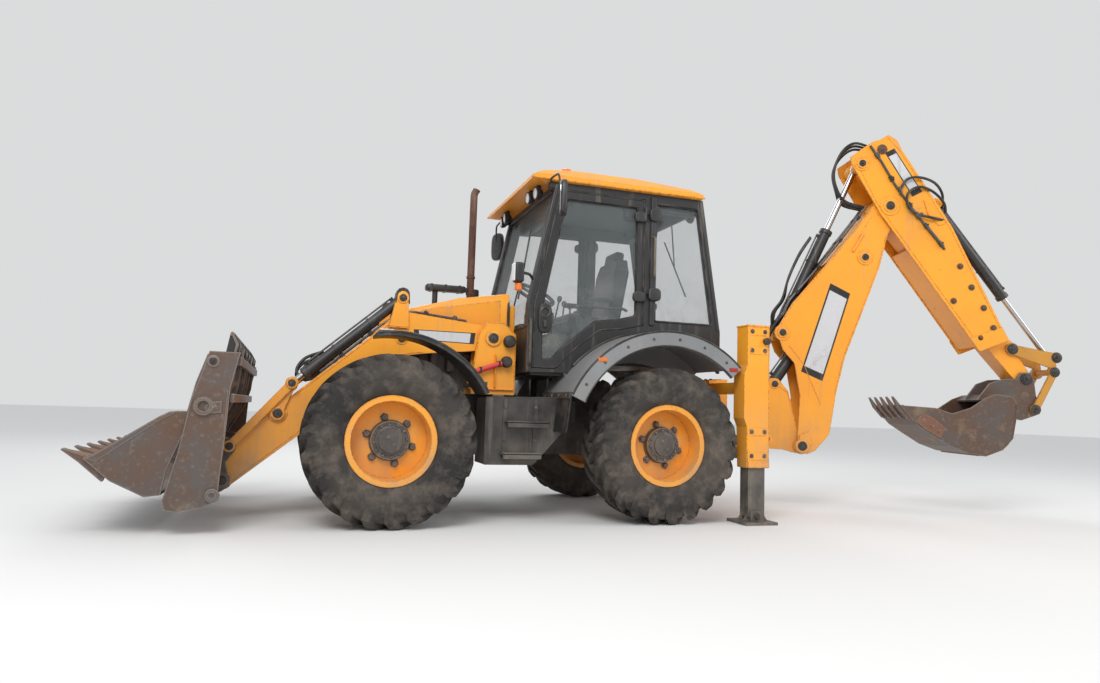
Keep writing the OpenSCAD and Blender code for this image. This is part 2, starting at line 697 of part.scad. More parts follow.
module clam_jaw() place() color(steel) {
  outer = bucket_w / 2 - side_t - gap;
  both_sides() difference() {
    plate([[4117, 491], [3961, 352], [3757, 249], [3662, 262], [3640, 420], [3560, 640], [3440, 860], [3360, 1080],
      [3360, 1180], [3440, 1190], [3500, 1000], [3541, 806], [3600, 806]], outer - side_t, outer);
    bar(clam_pivot, jaw_pin + fit, outer - side_t - 1, outer + 1);
  }
  plate([[4117, 491], [3961, 352], [3757, 249], [3662, 262], [3664, 282], [3757, 270], [3950, 370], [4104, 503]],
    -outer + side_t, outer - side_t);
  spread = bucket_w / 2 - 80;
  for (i = [0:tooth_count - 1]) {
    y = spread * (2 * i / (tooth_count - 1) - 1);
    plate([[3990, 392], [4100, 495], [4120, 512], [4240, 555], [4250, 545], [4150, 470], [4010, 345]], y - 30, y + 30);
  }
}

// Backhoe

beam_rear = -940;
beam_low = 520;
beam_high = 1080;
beam_h = 100;
slew_pin = 45;

module carriage() place() color(yellow) {
  x0 = beam_rear - 120;
  x1 = beam_rear - seat_gap;
  // Dust cap over the slew pin
  translate([slew_x, 0, beam_high + 100]) cylinder(r1 = 145, r2 = 60, h = 32);
  block([x0, -260, beam_low - 50], [x1, 260, beam_high + beam_h + 50]);
  block([x0, -260, beam_high + beam_h + seat_gap], [x1 + 80, 260, beam_high + beam_h + 40]);
  block([x0, -260, beam_low - 40], [x1 + 80, 260, beam_low - seat_gap]);
  for (z = [beam_low - 10, beam_high + 50]) {
    block([slew_x, -110, z], [x0, 110, z + 50]);
    translate([slew_x, 0, z]) cylinder(r = 110, h = 50);
  }
  translate([slew_x, 0, beam_low]) cylinder(r = slew_pin, h = beam_high - beam_low + 90);
}

cheek_in = 66;
cheek_out = 125;

module kingpost() hoe() color(yellow) difference() {
  union() {
    translate([0, 0, beam_low + 40 + gap]) cylinder(r = 110, h = beam_high - beam_low + 10 - 2 * gap);
    both_sides() plate(back([[40, 580], [40, 1110], [135, 1120], [140, 1250], [180, 1275], [230, 1270], [330, 1150],
      [420, 800], [530, 660], [530, 570], [440, 540], [300, 570]]), cheek_in, cheek_out);
    plate(back([[60, 580], [60, 1100], [150, 1100], [260, 900], [420, 700], [420, 580]]), -cheek_in, cheek_in);
    bar(bk(boom_foot), 80, -boom_w / 2 + plate_t + gap, boom_w / 2 - plate_t - gap);
    bar(bk(boom_foot), 40, -boom_w / 2 - 12, boom_w / 2 + 12);
    bar(bk(boom_ram_low), 28, -cheek_out, cheek_out);
  }
  translate([0, 0, beam_low]) cylinder(r = slew_pin + fit, h = beam_high - beam_low + 90);
}

// Eye radius and closed length of the three rams
boom_closed = 1400;
dipper_closed = 1275;
hoe_closed = 1250;
ram_eye = 45;
dipper_ram_r = 55;
boom_back = [[1304, 2743], [1221, 2413], [1037, 1922], [879, 1506], [788, 1139], [753, 913]];
boom_front = [[721, 2459], [904, 2685], [1130, 2990]];

module boom() hoe() color(yellow) {
  half = boom_w / 2;
  inner = half - plate_t;
  difference() {
    union() {
      both_sides() plate(back(concat(
        [[199, 1750], [356, 2019]], boom_front, [[1200, 3090], [1400, 3120], [1440, 3000]], boom_back,
        [[720, 732], [586, 571], [508, 535], [407, 587], [438, 1106], [382, 1423], [269, 1556]]
      )), inner, half);
      bar(bk(dipper_pivot), 120, -half, half);
      // Back and front walls, set just inside the side plates' edges
      plate(back(concat([for (p = boom_back) p - [6, 0]], [for (i = [5:-1:0]) boom_back[i] - [6 + plate_t, -4]])), -inner, inner);
      plate(back(concat([for (p = boom_front) p + [8, 0]], [for (i = [2:-1:0]) boom_front[i] + [8 + plate_t, -6]])), -inner, inner);
      bar(bk(horn_pin), 58, -half - 8, half + 8);
      both_sides() bar(bk(boom_ram_high), 60, ram_eye, half + 8);
    }
    bar(bk(dipper_pivot), 40 + fit, -half - 1, half + 1);
    bar(bk(boom_foot), 40 + fit, -half - 1, half + 1);
    bar(bk(horn_pin), 62, -dipper_ram_r - gap, dipper_ram_r + gap);
    // Opening in the back wall for the eye and the gland of the ram when the boom is up
    plate(back([[1080, 2180], [1300, 2180], [1350, 2530], [1150, 2530]]), -76, 76);
  }
  bar(bk(horn_pin), 24, -half, half);
}

module boom_barrel() hoe() color(black) difference() {
  ram_barrel(bk(boom_ram_low), bk(boom_ram_high), 0, 57, 32, boom_closed, ram_eye);
  bar(bk(boom_ram_low), 28 + fit, -100, 100);
}
module boom_rod() hoe() color(chrome)
  ram_rod(bk(boom_ram_low), bk(boom_ram_high), 0, 32, boom_closed, ram_eye);

dip_front = [[450, -147], [1636, -214]];
dip_rear = [[-486, 480], [-375, 455], [171, 398], [547, 354], [1742, 73]];
dip_out = dipper_w / 2;
dip_in = dip_out - plate_t;
inner_half = 110;
inner_low = -95;
inner_high = 75;
slot_end = 1300;
lip_end = 1615;
// The back wall's depth behind the pins' line, along the dipper
function rear_n(s) = 348 - (s - 547) * (354 - 73) / (1742 - 547);

module dipper() hoe() color(yellow) {
  difference() {
    union() {
      both_sides() plate(back_dip(concat(
        [[-567, -32], [-630, 3], [-620, 274], [-590, 354], [-579, 447]], dip_rear,
        [[1660, -219], [1604, -214], [450, -147], [0, -124]]
      )), dip_in, dip_out);
      plate(back_dip([[450, -140], [450, -124], [1610, -190], [1610, -206]]), -dip_in, dip_in);
      // Back wall: whole above the slot, two strips beside it, and whole again below
      plate(back_dip([[-486, 474], [-375, 449], [160, 393], [160, 377], [-375, 433], [-486, 456]]), -dip_in, dip_in);
      both_sides() plate(back_dip([[160, 393], [547, 348], [slot_end, rear_n(slot_end)], [slot_end, rear_n(slot_end) - 16], [547, 332], [160, 377]]), inner_half, dip_in);
      plate(back_dip([[slot_end, rear_n(slot_end)], [lip_end, rear_n(lip_end)], [lip_end - 4, rear_n(lip_end) - 16],
        [slot_end, rear_n(slot_end) - 16]]), -dip_in, dip_in);
      plate(back_dip([[-486, 474], [-579, 441], [-584, 360], [-568, 360], [-564, 430], [-486, 456]]), -dip_in, dip_in);
      both_sides() bar(bk(crowd_pin), 60, ram_eye, dip_out + 8);
      both_sides() plate(back_dip([[1560, -190], [1560, 100], [1610, 88], [1610, -190]]), inner_half + seat_gap, dip_in);
      plate(back_dip([[1560, inner_low - 30], [1560, inner_low - seat_gap], [1610, inner_low - seat_gap], [1610, inner_low - 30]]),
        -dip_in, dip_in);
      plate(back_dip([[1560, inner_high + seat_gap], [1560, 100], [1610, 88], [1610, inner_high + seat_gap]]), -dip_in, dip_in);
      bar(bk(dipper_pivot), 40, -dip_out - 10, dip_out + 10);
      both_sides() bar(bk(dipper_pivot), 75, boom_w / 2 + 5, dip_out + 6);
    }
  }
}

module dipper_barrel() hoe() color(black) difference() {
  ram_barrel(bk(horn_pin), bk(crowd_pin), 0, dipper_ram_r, 30, dipper_closed, ram_eye);
  bar(bk(horn_pin), 24 + fit, -100, 100);
}
module dipper_rod() hoe() color(chrome)
  ram_rod(bk(horn_pin), bk(crowd_pin), 0, 30, dipper_closed, ram_eye);

module inner_dipper() hoe() color(yellow) {
  difference() {
    union() {
      plate(back_dip([[180, inner_low], [180, 40], [300, inner_high], [1770, inner_high], [1770, 130], [1900, 150], [1960, 90],
        [2180, 70], [2230, 20], [2230, -30], [2180, -75], [2080, -85], [1770, inner_low]]), -inner_half, inner_half);
      both_sides() plate(back_dip([[300, 40], [220, 380], [215, 470], [260, 505], [310, 490], [340, 380], [480, 40]]),
        60, 84);
      bar(bk(hoe_ram_low), 22, -90, 90);
    }
    bar(bk(bucket_pin), 35 + fit, -inner_half - 1, inner_half + 1);
    bar(bk(tip_pivot), 30 + fit, -inner_half - 1, inner_half + 1);
  }
}

module hoe_barrel() hoe() color(black) difference() {
  ram_barrel(bk(hoe_ram_low), bk(tip_ram), 0, 50, 28, hoe_closed, 42);
  bar(bk(hoe_ram_low), 22 + fit, -100, 100);
}
module hoe_rod() hoe() color(chrome) ram_rod(bk(hoe_ram_low), bk(tip_ram), 0, 28, hoe_closed, 42);

tip_t = 20;

module tip_lever() hoe() color(yellow) {
  both_sides() {
    y0 = inner_half + gap;
    translate([0, y0 + tip_t, 0]) rotate([90, 0, 0]) linear_extrude(tip_t) {
      translate(bk(tip_pivot)) circle(r = 62);
      translate(bk(tip_ram)) circle(r = 55);
      translate(bk(tip_top)) circle(r = 55);
      polygon([bk(tip_pivot) + [20, 50], bk(tip_ram) + [20, 45], bk(tip_top) + [-40, 20], bk(tip_pivot) + [-10, -55]]);
    }
    bar(bk(tip_ram), 34, 42 * 0.7 + 6, y0);
  }
  bar(bk(tip_pivot), 30, -inner_half - gap - 5, inner_half + gap + 5);
  bar(bk(tip_top), 30, -inner_half - gap - tip_t - 30, inner_half + gap + tip_t + 30);
}

module tip_link() hoe() color(yellow) both_sides() difference() {
  link_bar(bk(tip_top), bk(hitch_link), 52, 48, inner_half + 2 * gap + tip_t, inner_half + 2 * gap + 2 * tip_t);
  bar(bk(tip_top), 30 + fit, 0, 300);
}

// The digging bucket's shell, from the lip round the bottom to the top of the back
hoe_shell = [[1340, 1040], [1503, 854], [1663, 750], [1813, 658], [1985, 598], [2145, 576], [2307, 641], [2406, 752],
  [2443, 949], [2451, 1081], [2415, 1150]];
hoe_mid = [2080, 960];
function inward(p, t) = p + (hoe_mid - p) / norm(hoe_mid - p) * t;

module hoe_bucket() hoe() color(steel) {
  half = hoe_w / 2;
  n = len(hoe_shell);
  both_sides() plate(back(concat(hoe_shell, [[2264, 1173], [2156, 1131], [2014, 1034], [1840, 974], [1678, 1023]])),
    half - plate_t, half);
  plate(back(concat(hoe_shell, [for (i = [n - 1:-1:0]) inward(hoe_shell[i], 18)])), -half + plate_t, half - plate_t);
  for (i = [0:hoe_teeth - 1]) {
    y = (half - 45) * (2 * i / (hoe_teeth - 1) - 1);
    plate(back([[1440, 940], [1340, 1055], [1286, 1122], [1294, 1100], [1330, 1020], [1420, 915]]), y - 30, y + 30);
  }
  plate(back([[2200, 1120], [2264, 1173], [2415, 1150], [2451, 1081], [2430, 1070], [2400, 1130], [2270, 1150], [2210, 1105]]),
    -half + plate_t, half - plate_t);
  both_sides() plate(back([[2180, 1125], [2300, 1285], [2420, 1330], [2560, 1340], [2600, 1400], [2700, 1400], [2730, 1335],
    [2745, 1180], [2785, 1060], [2780, 1000], [2720, 975], [2600, 930], [2449, 960], [2440, 1100], [2300, 1150]]),
    inner_half + gap, inner_half + gap + tip_t);
  bar([-2500, 1100], 45, -inner_half - gap, inner_half + gap);
  bar(bk(bucket_pin), 35, -inner_half - gap - tip_t - 10, inner_half + gap + tip_t + 10);
}

// Stabilisers

module stabiliser(side) place() scale_side(side) color(black) {
  translate([leg_x, leg_y, 0]) {
    block([-leg_long / 2, -leg_wide / 2, 60], [leg_long / 2, leg_wide / 2, leg_top]);
    block([-leg_long / 2 - guide, -leg_wide / 2 - guide, leg_top - 80], [leg_long / 2 + guide, leg_wide / 2 + guide, leg_top]);
    block([-pad / 2, -pad / 2, 0], [pad / 2, pad / 2, 24]);
    block([-60, -leg_wide / 2 - 12, 24], [60, leg_wide / 2 + 12, 110]);
  }
}
module stabiliser_left() stabiliser(1);
module stabiliser_right() stabiliser(-1);

module knuckle_front_left() knuckle(wheelbase, 1);
module knuckle_front_right() knuckle(wheelbase, -1);
module knuckle_rear_left() knuckle(0, 1);
module knuckle_rear_right() knuckle(0, -1);
module tyre_front_left() at_wheel(wheelbase, 1) tyre();
module tyre_front_right() at_wheel(wheelbase, -1) tyre();
module tyre_rear_left() at_wheel(0, 1) tyre();
module tyre_rear_right() at_wheel(0, -1) tyre();
module rim_front_left() at_wheel(wheelbase, 1) rim();
module rim_front_right() at_wheel(wheelbase, -1) rim();
module rim_rear_left() at_wheel(0, 1) rim();
module rim_rear_right() at_wheel(0, -1) rim();
module door_left() place() door();
module door_right() place() mirror([0, 1, 0]) door();
module door_glass_left() place() door_glass();
module door_glass_right() place() mirror([0, 1, 0]) door_glass();

main_frame();
engine_block();
loader_towers();
side_tanks();
axle_housings();
cab_frame();
cab_roof();
cab_glass();
cab_interior();
driver_seat();
rear_fenders();
front_fenders();
exhaust_stack();
side_cowl();
nose_grille();
rear_frame();
lamps();
mirrors();
hood();
door_left();
door_glass_left();
door_right();
door_glass_right();
knuckle_front_left();
knuckle_front_right();
knuckle_rear_left();
knuckle_rear_right();
tyre_front_left();
tyre_front_right();
tyre_rear_left();
tyre_rear_right();
rim_front_left();
rim_front_right();
rim_rear_left();
rim_rear_right();
loader_arms();
lift_barrels();
lift_rods();
tilt_levers();
tilt_links();
tilt_barrels();
tilt_rods();
loader_bucket();
clam_jaw();
carriage();
kingpost();
boom();
boom_barrel();
boom_rod();
dipper();
dipper_barrel();
dipper_rod();
inner_dipper();
hoe_barrel();
hoe_rod();
tip_lever();
tip_link();
hoe_bucket();
stabiliser_left();
stabiliser_right();
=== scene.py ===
# Backhoe loader with four equal wheels, a front loader with a clam bucket, and a
# digging arm on a side shift frame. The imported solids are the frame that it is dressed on.
import math

import bmesh
import bpy
from mathutils import Matrix, Vector


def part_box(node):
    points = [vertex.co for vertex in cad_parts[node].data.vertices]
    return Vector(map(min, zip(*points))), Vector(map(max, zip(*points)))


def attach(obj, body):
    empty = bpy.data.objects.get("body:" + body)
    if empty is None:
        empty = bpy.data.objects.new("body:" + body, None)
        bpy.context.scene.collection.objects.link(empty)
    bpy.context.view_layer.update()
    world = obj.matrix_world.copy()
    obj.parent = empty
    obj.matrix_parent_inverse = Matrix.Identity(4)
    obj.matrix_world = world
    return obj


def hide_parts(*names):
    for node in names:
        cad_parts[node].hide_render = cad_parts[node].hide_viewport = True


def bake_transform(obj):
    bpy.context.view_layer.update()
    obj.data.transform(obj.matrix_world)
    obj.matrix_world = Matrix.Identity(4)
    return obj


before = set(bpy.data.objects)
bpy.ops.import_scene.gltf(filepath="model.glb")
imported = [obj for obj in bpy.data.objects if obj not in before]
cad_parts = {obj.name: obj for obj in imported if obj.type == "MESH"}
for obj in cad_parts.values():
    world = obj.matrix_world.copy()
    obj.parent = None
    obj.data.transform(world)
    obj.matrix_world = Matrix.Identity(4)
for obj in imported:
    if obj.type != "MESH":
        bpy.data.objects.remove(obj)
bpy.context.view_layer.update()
scene = bpy.context.scene
scene.view_settings.view_transform = "Standard"

# Camera and studio. The camera stands at the machine's left, ahead of its middle and
# about a metre above the ground, with a wide lens. The floor is pale and the light is soft.
camera_at = Vector((2.9517, 6.7094, 0.8909))
camera_yaw = math.radians(18.39)
camera_pitch = math.radians(5.07)
camera_roll = math.radians(1.81)

level = Vector((-math.sin(camera_yaw), -math.cos(camera_yaw), 0.0))
across = Vector((-math.cos(camera_yaw), math.sin(camera_yaw), 0.0))
ahead = level * math.cos(camera_pitch) + Vector((0, 0, math.sin(camera_pitch)))
over = Vector((0, 0, math.cos(camera_pitch))) - level * math.sin(camera_pitch)
rolled_right = across * math.cos(camera_roll) + over * math.sin(camera_roll)
rolled_up = over * math.cos(camera_roll) - across * math.sin(camera_roll)

camera_data = bpy.data.cameras.new("camera")
camera_data.sensor_width = 36.0
camera_data.lens = 25.09
camera = bpy.data.objects.new("camera", camera_data)
scene.collection.objects.link(camera)
turn = Matrix((rolled_right, rolled_up, -ahead)).transposed().to_4x4()
camera.matrix_world = Matrix.Translation(camera_at) @ turn
scene.camera = camera


def new_material(name):
    material = bpy.data.materials.new(name)
    material.use_nodes = True
    tree = material.node_tree
    shader = tree.nodes["Principled BSDF"]
    return material, tree, shader


def feed(tree, socket, value):
    if isinstance(value, bpy.types.NodeSocket):
        tree.links.new(value, socket)
    else:
        socket.default_value = value


def add_node(tree, kind, values=None, settings=None):
    """A node whose sockets take plain values or links from other nodes."""
    node = tree.nodes.new(kind)
    for name, value in (settings or {}).items():
        setattr(node, name, value)
    for name, value in (values or {}).items():
        feed(tree, node.inputs[name], value)
    return node


def calc(tree, operation, a, b):
    settings = {"operation": operation, "use_clamp": operation != "SUBTRACT"}
    return add_node(tree, "ShaderNodeMath", {0: a, 1: b}, settings).outputs[0]


def blend_colour(tree, factor, a, b):
    values = {"Factor": factor, "A": a, "B": b}
    return add_node(tree, "ShaderNodeMix", values, {"data_type": "RGBA"}).outputs["Result"]


def seen_as(tree, plain, shown, target):
    """The colour `shown` for what the camera, a mirror or a pane sees, and `plain` for light."""
    path = add_node(tree, "ShaderNodeLightPath").outputs
    seen = calc(tree, "MAXIMUM", path["Is Camera Ray"], path["Is Glossy Ray"])
    seen = calc(tree, "MAXIMUM", seen, path["Is Transmission Ray"])
    tree.links.new(blend_colour(tree, seen, plain, shown), target)


world = bpy.data.worlds.new("studio")
scene.world = world
world.use_nodes = True
backdrop = world.node_tree.nodes["Background"]
seen_as(world.node_tree, (0.78, 0.8, 0.83, 1), (0.71, 0.715, 0.72, 1), backdrop.inputs["Color"])

floor_mesh = bpy.data.meshes.new("floor")
floor_half = 60.0
floor_corners = [(x * floor_half, y * floor_half, 0) for x, y in ((-1, -1), (1, -1), (1, 1), (-1, 1))]
floor_mesh.from_pydata(floor_corners, [], [(0, 1, 2, 3)])
floor = bpy.data.objects.new("floor", floor_mesh)
scene.collection.objects.link(floor)
floor_finish, _, floor_shader = new_material("floor_finish")
floor_shader.inputs["Base Color"].default_value = (0.72, 0.715, 0.7, 1)
floor_shader.inputs["Roughness"].default_value = 0.9
floor_mesh.materials.append(floor_finish)


def soft_light(name, place, target, size, power):
    data = bpy.data.lights.new(name, "AREA")
    data.shape = "DISK"
    data.size = size
    data.energy = power
    lamp = bpy.data.objects.new(name, data)
    scene.collection.objects.link(lamp)
    lamp.location = place
    lamp.rotation_mode = "QUATERNION"
    lamp.rotation_quaternion = (Vector(target) - Vector(place)).to_track_quat("-Z", "Y")


soft_light("key_light", (5.0, 8.5, 9.0), (0.0, 0.0, 1.0), 6.0, 820)
soft_light("fill_light", (-9.0, 6.0, 6.0), (-1.5, 0.0, 1.5), 6.0, 260)
soft_light("back_light", (0.0, -9.0, 8.0), (0.0, 0.0, 1.2), 7.0, 300)

# Paint. Pressed and welded steel plate, sprayed yellow, black or grey. Years of work leave
# it faded in patches, scuffed to bare metal at its edges, streaked, and dusty low down.


def object_point(tree, scale=(1, 1, 1)):
    place = add_node(tree, "ShaderNodeTexCoord").outputs["Object"]
    return add_node(tree, "ShaderNodeMapping", {"Scale": scale, "Vector": place}).outputs["Vector"]


def noise(tree, point, scale, detail=5.0, roughness=0.55):
    values = {"Vector": point, "Scale": scale, "Detail": detail, "Roughness": roughness}
    return add_node(tree, "ShaderNodeTexNoise", values).outputs["Fac"]


def band(tree, value, low, high, to_low=0.0, to_high=1.0):
    values = {"Value": value, "From Min": low, "From Max": high, "To Min": to_low, "To Max": to_high}
    return add_node(tree, "ShaderNodeMapRange", values).outputs["Result"]


def times(tree, a, b):
    return calc(tree, "MULTIPLY", a, b)


def mottle(tree, scale, detail, low, high, roughness=0.55, stretch=(1, 1, 1)):
    """Patches that run from 0 to 1 over a piece."""
    return band(tree, noise(tree, object_point(tree, stretch), scale, detail, roughness), low, high)


def ridges(tree, scale, distortion=0.0, way="X"):
    """Even ridges along one direction."""
    values = {"Vector": object_point(tree), "Scale": scale, "Distortion": distortion}
    return add_node(tree, "ShaderNodeTexWave", values, {"bands_direction": way}).outputs["Fac"]


def cover(tree, shader, **sockets):
    """Gives a shader's sockets their constants or patterns."""
    for name, value in sockets.items():
        feed(tree, shader.inputs[name.replace("_", " ")], value)


def worn_edges(tree, width):
    """1 on sharp edges and 0 on flat faces."""
    rounded = add_node(tree, "ShaderNodeBevel", {"Radius": width}, {"samples": 4}).outputs["Normal"]
    flat = add_node(tree, "ShaderNodeNewGeometry").outputs["Normal"]
    same = add_node(tree, "ShaderNodeVectorMath", {0: rounded, 1: flat}, {"operation": "DOT_PRODUCT"})
    return band(tree, same.outputs["Value"], 0.995, 0.9)


def up_part(tree, vector):
    return add_node(tree, "ShaderNodeSeparateXYZ", {"Vector": vector}).outputs["Z"]


def upward(tree):
    return band(tree, up_part(tree, add_node(tree, "ShaderNodeNewGeometry").outputs["Normal"]), 0.2, 0.9)


def height_band(tree, low, high):
    return band(tree, up_part(tree, object_point(tree)), high, low)


def rough_bump(tree, shader, height, strength, distance):
    values = {"Strength": strength, "Distance": distance, "Height": height}
    cover(tree, shader, Normal=add_node(tree, "ShaderNodeBump", values).outputs["Normal"])


def paint(name, colour, faded, bare, dust, wear, dust_top, gloss):
    """Paint with faded patches, streaks, chipped edges, and dust that lies low down and on top."""
    material, tree, shader = new_material(name)
    coat = blend_colour(tree, times(tree, mottle(tree, 2.1, 6.0, 0.42, 0.68), 0.55), colour, faded)
    streaks = mottle(tree, 1.0, 7.0, 0.56, 0.74, 0.6, (16.0, 16.0, 1.3))
    coat = blend_colour(tree, times(tree, streaks, 0.35), coat, dust)
    grit = noise(tree, object_point(tree), 38.0, 8.0, 0.65)
    edge_chips = times(tree, worn_edges(tree, 0.014), band(tree, grit, 0.52 - wear * 0.1, 0.6))
    spots = mottle(tree, 11.0, 10.0, 0.69 - wear * 0.04, 0.73, 0.72)
    chips = calc(tree, "MAXIMUM", edge_chips, spots)
    coat = blend_colour(tree, times(tree, chips, 0.85), coat, bare)
    low_down = times(tree, height_band(tree, 0.1, dust_top), mottle(tree, 5.0, 8.0, 0.3, 0.7))
    settled = times(tree, upward(tree), mottle(tree, 8.0, 8.0, 0.35, 0.75))
    dirt = calc(tree, "MAXIMUM", times(tree, low_down, 0.75), times(tree, settled, 0.35))
    worn = times(tree, calc(tree, "MAXIMUM", chips, dirt), 0.45)
    cover(
        tree, shader, Base_Color=blend_colour(tree, dirt, coat, dust),
        Roughness=calc(tree, "ADD", gloss, worn))
    rough_bump(tree, shader, calc(tree, "SUBTRACT", grit, chips), 0.12, 0.004)
    return material


dry_dust = (0.3, 0.25, 0.2, 1)
yellow = paint(
    "yellow_paint", (0.9, 0.36, 0.022, 1), (0.8, 0.3, 0.03, 1), (0.1, 0.065, 0.045, 1), dry_dust, 1.0, 1.1,
    0.34)
black = paint(
    "black_paint", (0.018, 0.018, 0.019, 1), (0.045, 0.044, 0.042, 1), (0.09, 0.07, 0.055, 1), dry_dust,
    0.3, 1.3, 0.42)
grey = paint(
    "grey_paint", (0.19, 0.195, 0.2, 1), (0.27, 0.27, 0.265, 1), (0.06, 0.05, 0.045, 1), dry_dust, 0.2, 1.2,
    0.45)


def finish_node(material, *names):
    for name in names:
        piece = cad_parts[name]
        for slot in piece.material_slots:
            slot.material = material


corners = [(end, side) for end in ("front", "rear") for side in ("left", "right")]
finish_node(black, "main_frame", "side_tanks", "axle_housings", "cab_frame", "front_fenders", "nose_grille")
finish_node(black, "door_left", "door_right", "stabiliser_left", "stabiliser_right")
finish_node(black, *[f"knuckle_{end}_{side}" for end, side in corners])
finish_node(
    black, "lift_barrels", "tilt_barrels", "boom_barrel", "dipper_barrel", "hoe_barrel", "exhaust_stack")
finish_node(grey, "rear_fenders", "engine_block")
finish_node(yellow, "loader_towers", "cab_roof", "side_cowl", "rear_frame", "hood", "loader_arms")
finish_node(yellow, "tilt_levers", "tilt_links", "carriage", "kingpost", "boom", "dipper", "inner_dipper")
greasy_paint = paint(
    "greasy_paint", (0.55, 0.25, 0.03, 1), (0.3, 0.15, 0.04, 1), (0.05, 0.035, 0.025, 1), dry_dust, 2.2,
    1.0, 0.4)
finish_node(greasy_paint, "tip_lever", "tip_link")
finish_node(yellow, *[f"rim_{end}_{side}" for end, side in corners])

# Tyres. Black rubber on the four wheels, all one size, with deep sloping bars on the tread
# that meet in a chevron. The carcass is moulded, and dried mud lightens the tread's grooves.
tyre_radius = 0.63
tyre_width = 0.43
rim_radius = 0.329
groove_radius = tyre_radius - 0.036
bar_count = 22
wheel_places = {}
for end, side in corners:
    low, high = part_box(f"tyre_{end}_{side}")
    wheel_places[(end, side)] = (Vector(low) + Vector(high)) / 2

rubber, tree, shader = new_material("tyre_rubber")
mud = times(tree, mottle(tree, 9.0, 9.0, 0.45, 0.7, 0.65), 0.5)
film = times(tree, mottle(tree, 1.6, 4.0, 0.35, 0.65), 0.28)
mud_mask = calc(tree, "ADD", mud, film)
tone = blend_colour(tree, mud_mask, (0.016, 0.015, 0.0145, 1), (0.17, 0.135, 0.105, 1))
cover(tree, shader, Base_Color=tone, Roughness=0.82)
rough_bump(tree, shader, noise(tree, object_point(tree), 60.0, 8.0, 0.7), 0.25, 0.004)


def mesh_from(name, points, faces):
    mesh = bpy.data.meshes.new(name)
    mesh.from_pydata([tuple(point) for point in points], [], faces)
    work = bmesh.new()
    work.from_mesh(mesh)
    bmesh.ops.remove_doubles(work, verts=work.verts, dist=1e-5)
    bmesh.ops.recalc_face_normals(work, faces=work.faces)
    work.to_mesh(mesh)
    work.free()
    return mesh


def lathed(name, profile, segments):
    """A closed solid of revolution about Y from [y, radius] points, ends on the axis or joined."""
    points = []
    faces = []
    count = len(profile)
    for step in range(segments):
        angle = math.tau * step / segments
        for y, radius in profile:
            points.append((radius * math.sin(angle), y, radius * math.cos(angle)))
    for step in range(segments):
        a = step * count
        b = (step + 1) % segments * count
        for index in range(count):
            after = (index + 1) % count
            faces.append((a + index, a + after, b + after, b + index))
    return mesh_from(name, points, faces)


def put(mesh, spot, degrees=0, axis="X"):
    """Turns a mesh about the origin and moves it to a spot."""
    mesh.transform(Matrix.Translation(spot) @ Matrix.Rotation(math.radians(degrees), 4, axis))
    return mesh


def lone_object(name, mesh):
    piece = bpy.data.objects.new(name, mesh)
    scene.collection.objects.link(piece)
    return piece


def smooth(mesh, degrees=35.0):
    for face in mesh.polygons:
        face.use_smooth = True
    mesh.set_sharp_from_angle(angle=math.radians(degrees))


def joined(name, meshes):
    """One mesh from several, with their materials kept."""
    work = bmesh.new()
    materials = []
    for mesh in meshes:
        start = len(work.faces)
        work.from_mesh(mesh)
        work.faces.ensure_lookup_table()
        offset = len(materials)
        materials += mesh.materials
        for face in work.faces[start:]:
            face.material_index += offset
    result = bpy.data.meshes.new(name)
    work.to_mesh(result)
    work.free()
    for material in materials:
        result.materials.append(material)
    return result


def set_down(name, mesh, body):
    """Makes a mesh that already lies in its place a piece of the scene."""
    piece = lone_object(name, mesh)
    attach(piece, body)
    return piece


ring_tree = bpy.data.node_groups.new("ring_of_items", "GeometryNodeTree")
ring_sockets = {}
for socket_name, socket_kind in (
    ("Geometry", "NodeSocketGeometry"), ("Count", "NodeSocketInt"), ("Phase", "NodeSocketFloat"),
    ("Finish", "NodeSocketMaterial"),
):
    socket = ring_tree.interface.new_socket(socket_name, in_out="INPUT", socket_type=socket_kind)
    ring_sockets[socket_name] = socket.identifier
ring_tree.interface.new_socket("Geometry", in_out="OUTPUT", socket_type="NodeSocketGeometry")
ring_nodes = {}
for key, kind in (
    ("in", "NodeGroupInput"), ("out", "NodeGroupOutput"), ("points", "GeometryNodePoints"),
    ("copies", "GeometryNodeInstanceOnPoints"), ("index", "GeometryNodeInputIndex"),
    ("share", "ShaderNodeMath"), ("turn", "ShaderNodeMath"), ("angle", "ShaderNodeCombineXYZ"),
    ("real", "GeometryNodeRealizeInstances"), ("finish", "GeometryNodeSetMaterial"),
):
    ring_nodes[key] = ring_tree.nodes.new(kind)
ring_nodes["share"].operation = "DIVIDE"
ring_nodes["turn"].operation = "MULTIPLY_ADD"
ring_nodes["turn"].inputs[1].default_value = math.tau
for source, given, target, taken in (
    ("in", "Count", "points", "Count"), ("points", 0, "copies", "Points"),
    ("in", "Geometry", "copies", "Instance"), ("index", 0, "share", 0), ("in", "Count", "share", 1),
    ("share", 0, "turn", 0), ("in", "Phase", "turn", 2), ("turn", 0, "angle", "Y"),
    ("angle", 0, "copies", "Rotation"), ("copies", 0, "real", 0), ("real", 0, "finish", "Geometry"),
    ("in", "Finish", "finish", "Material"), ("finish", 0, "out", 0),
):
    ring_tree.links.new(ring_nodes[source].outputs[given], ring_nodes[target].inputs[taken])


def evaluated_mesh(piece, name):
    """The finished mesh of an object with modifiers. The object itself goes."""
    graph = bpy.context.evaluated_depsgraph_get()
    graph.update()
    mesh = bpy.data.meshes.new_from_object(piece.evaluated_get(graph))
    mesh.name = name
    bpy.data.objects.remove(piece)
    return mesh


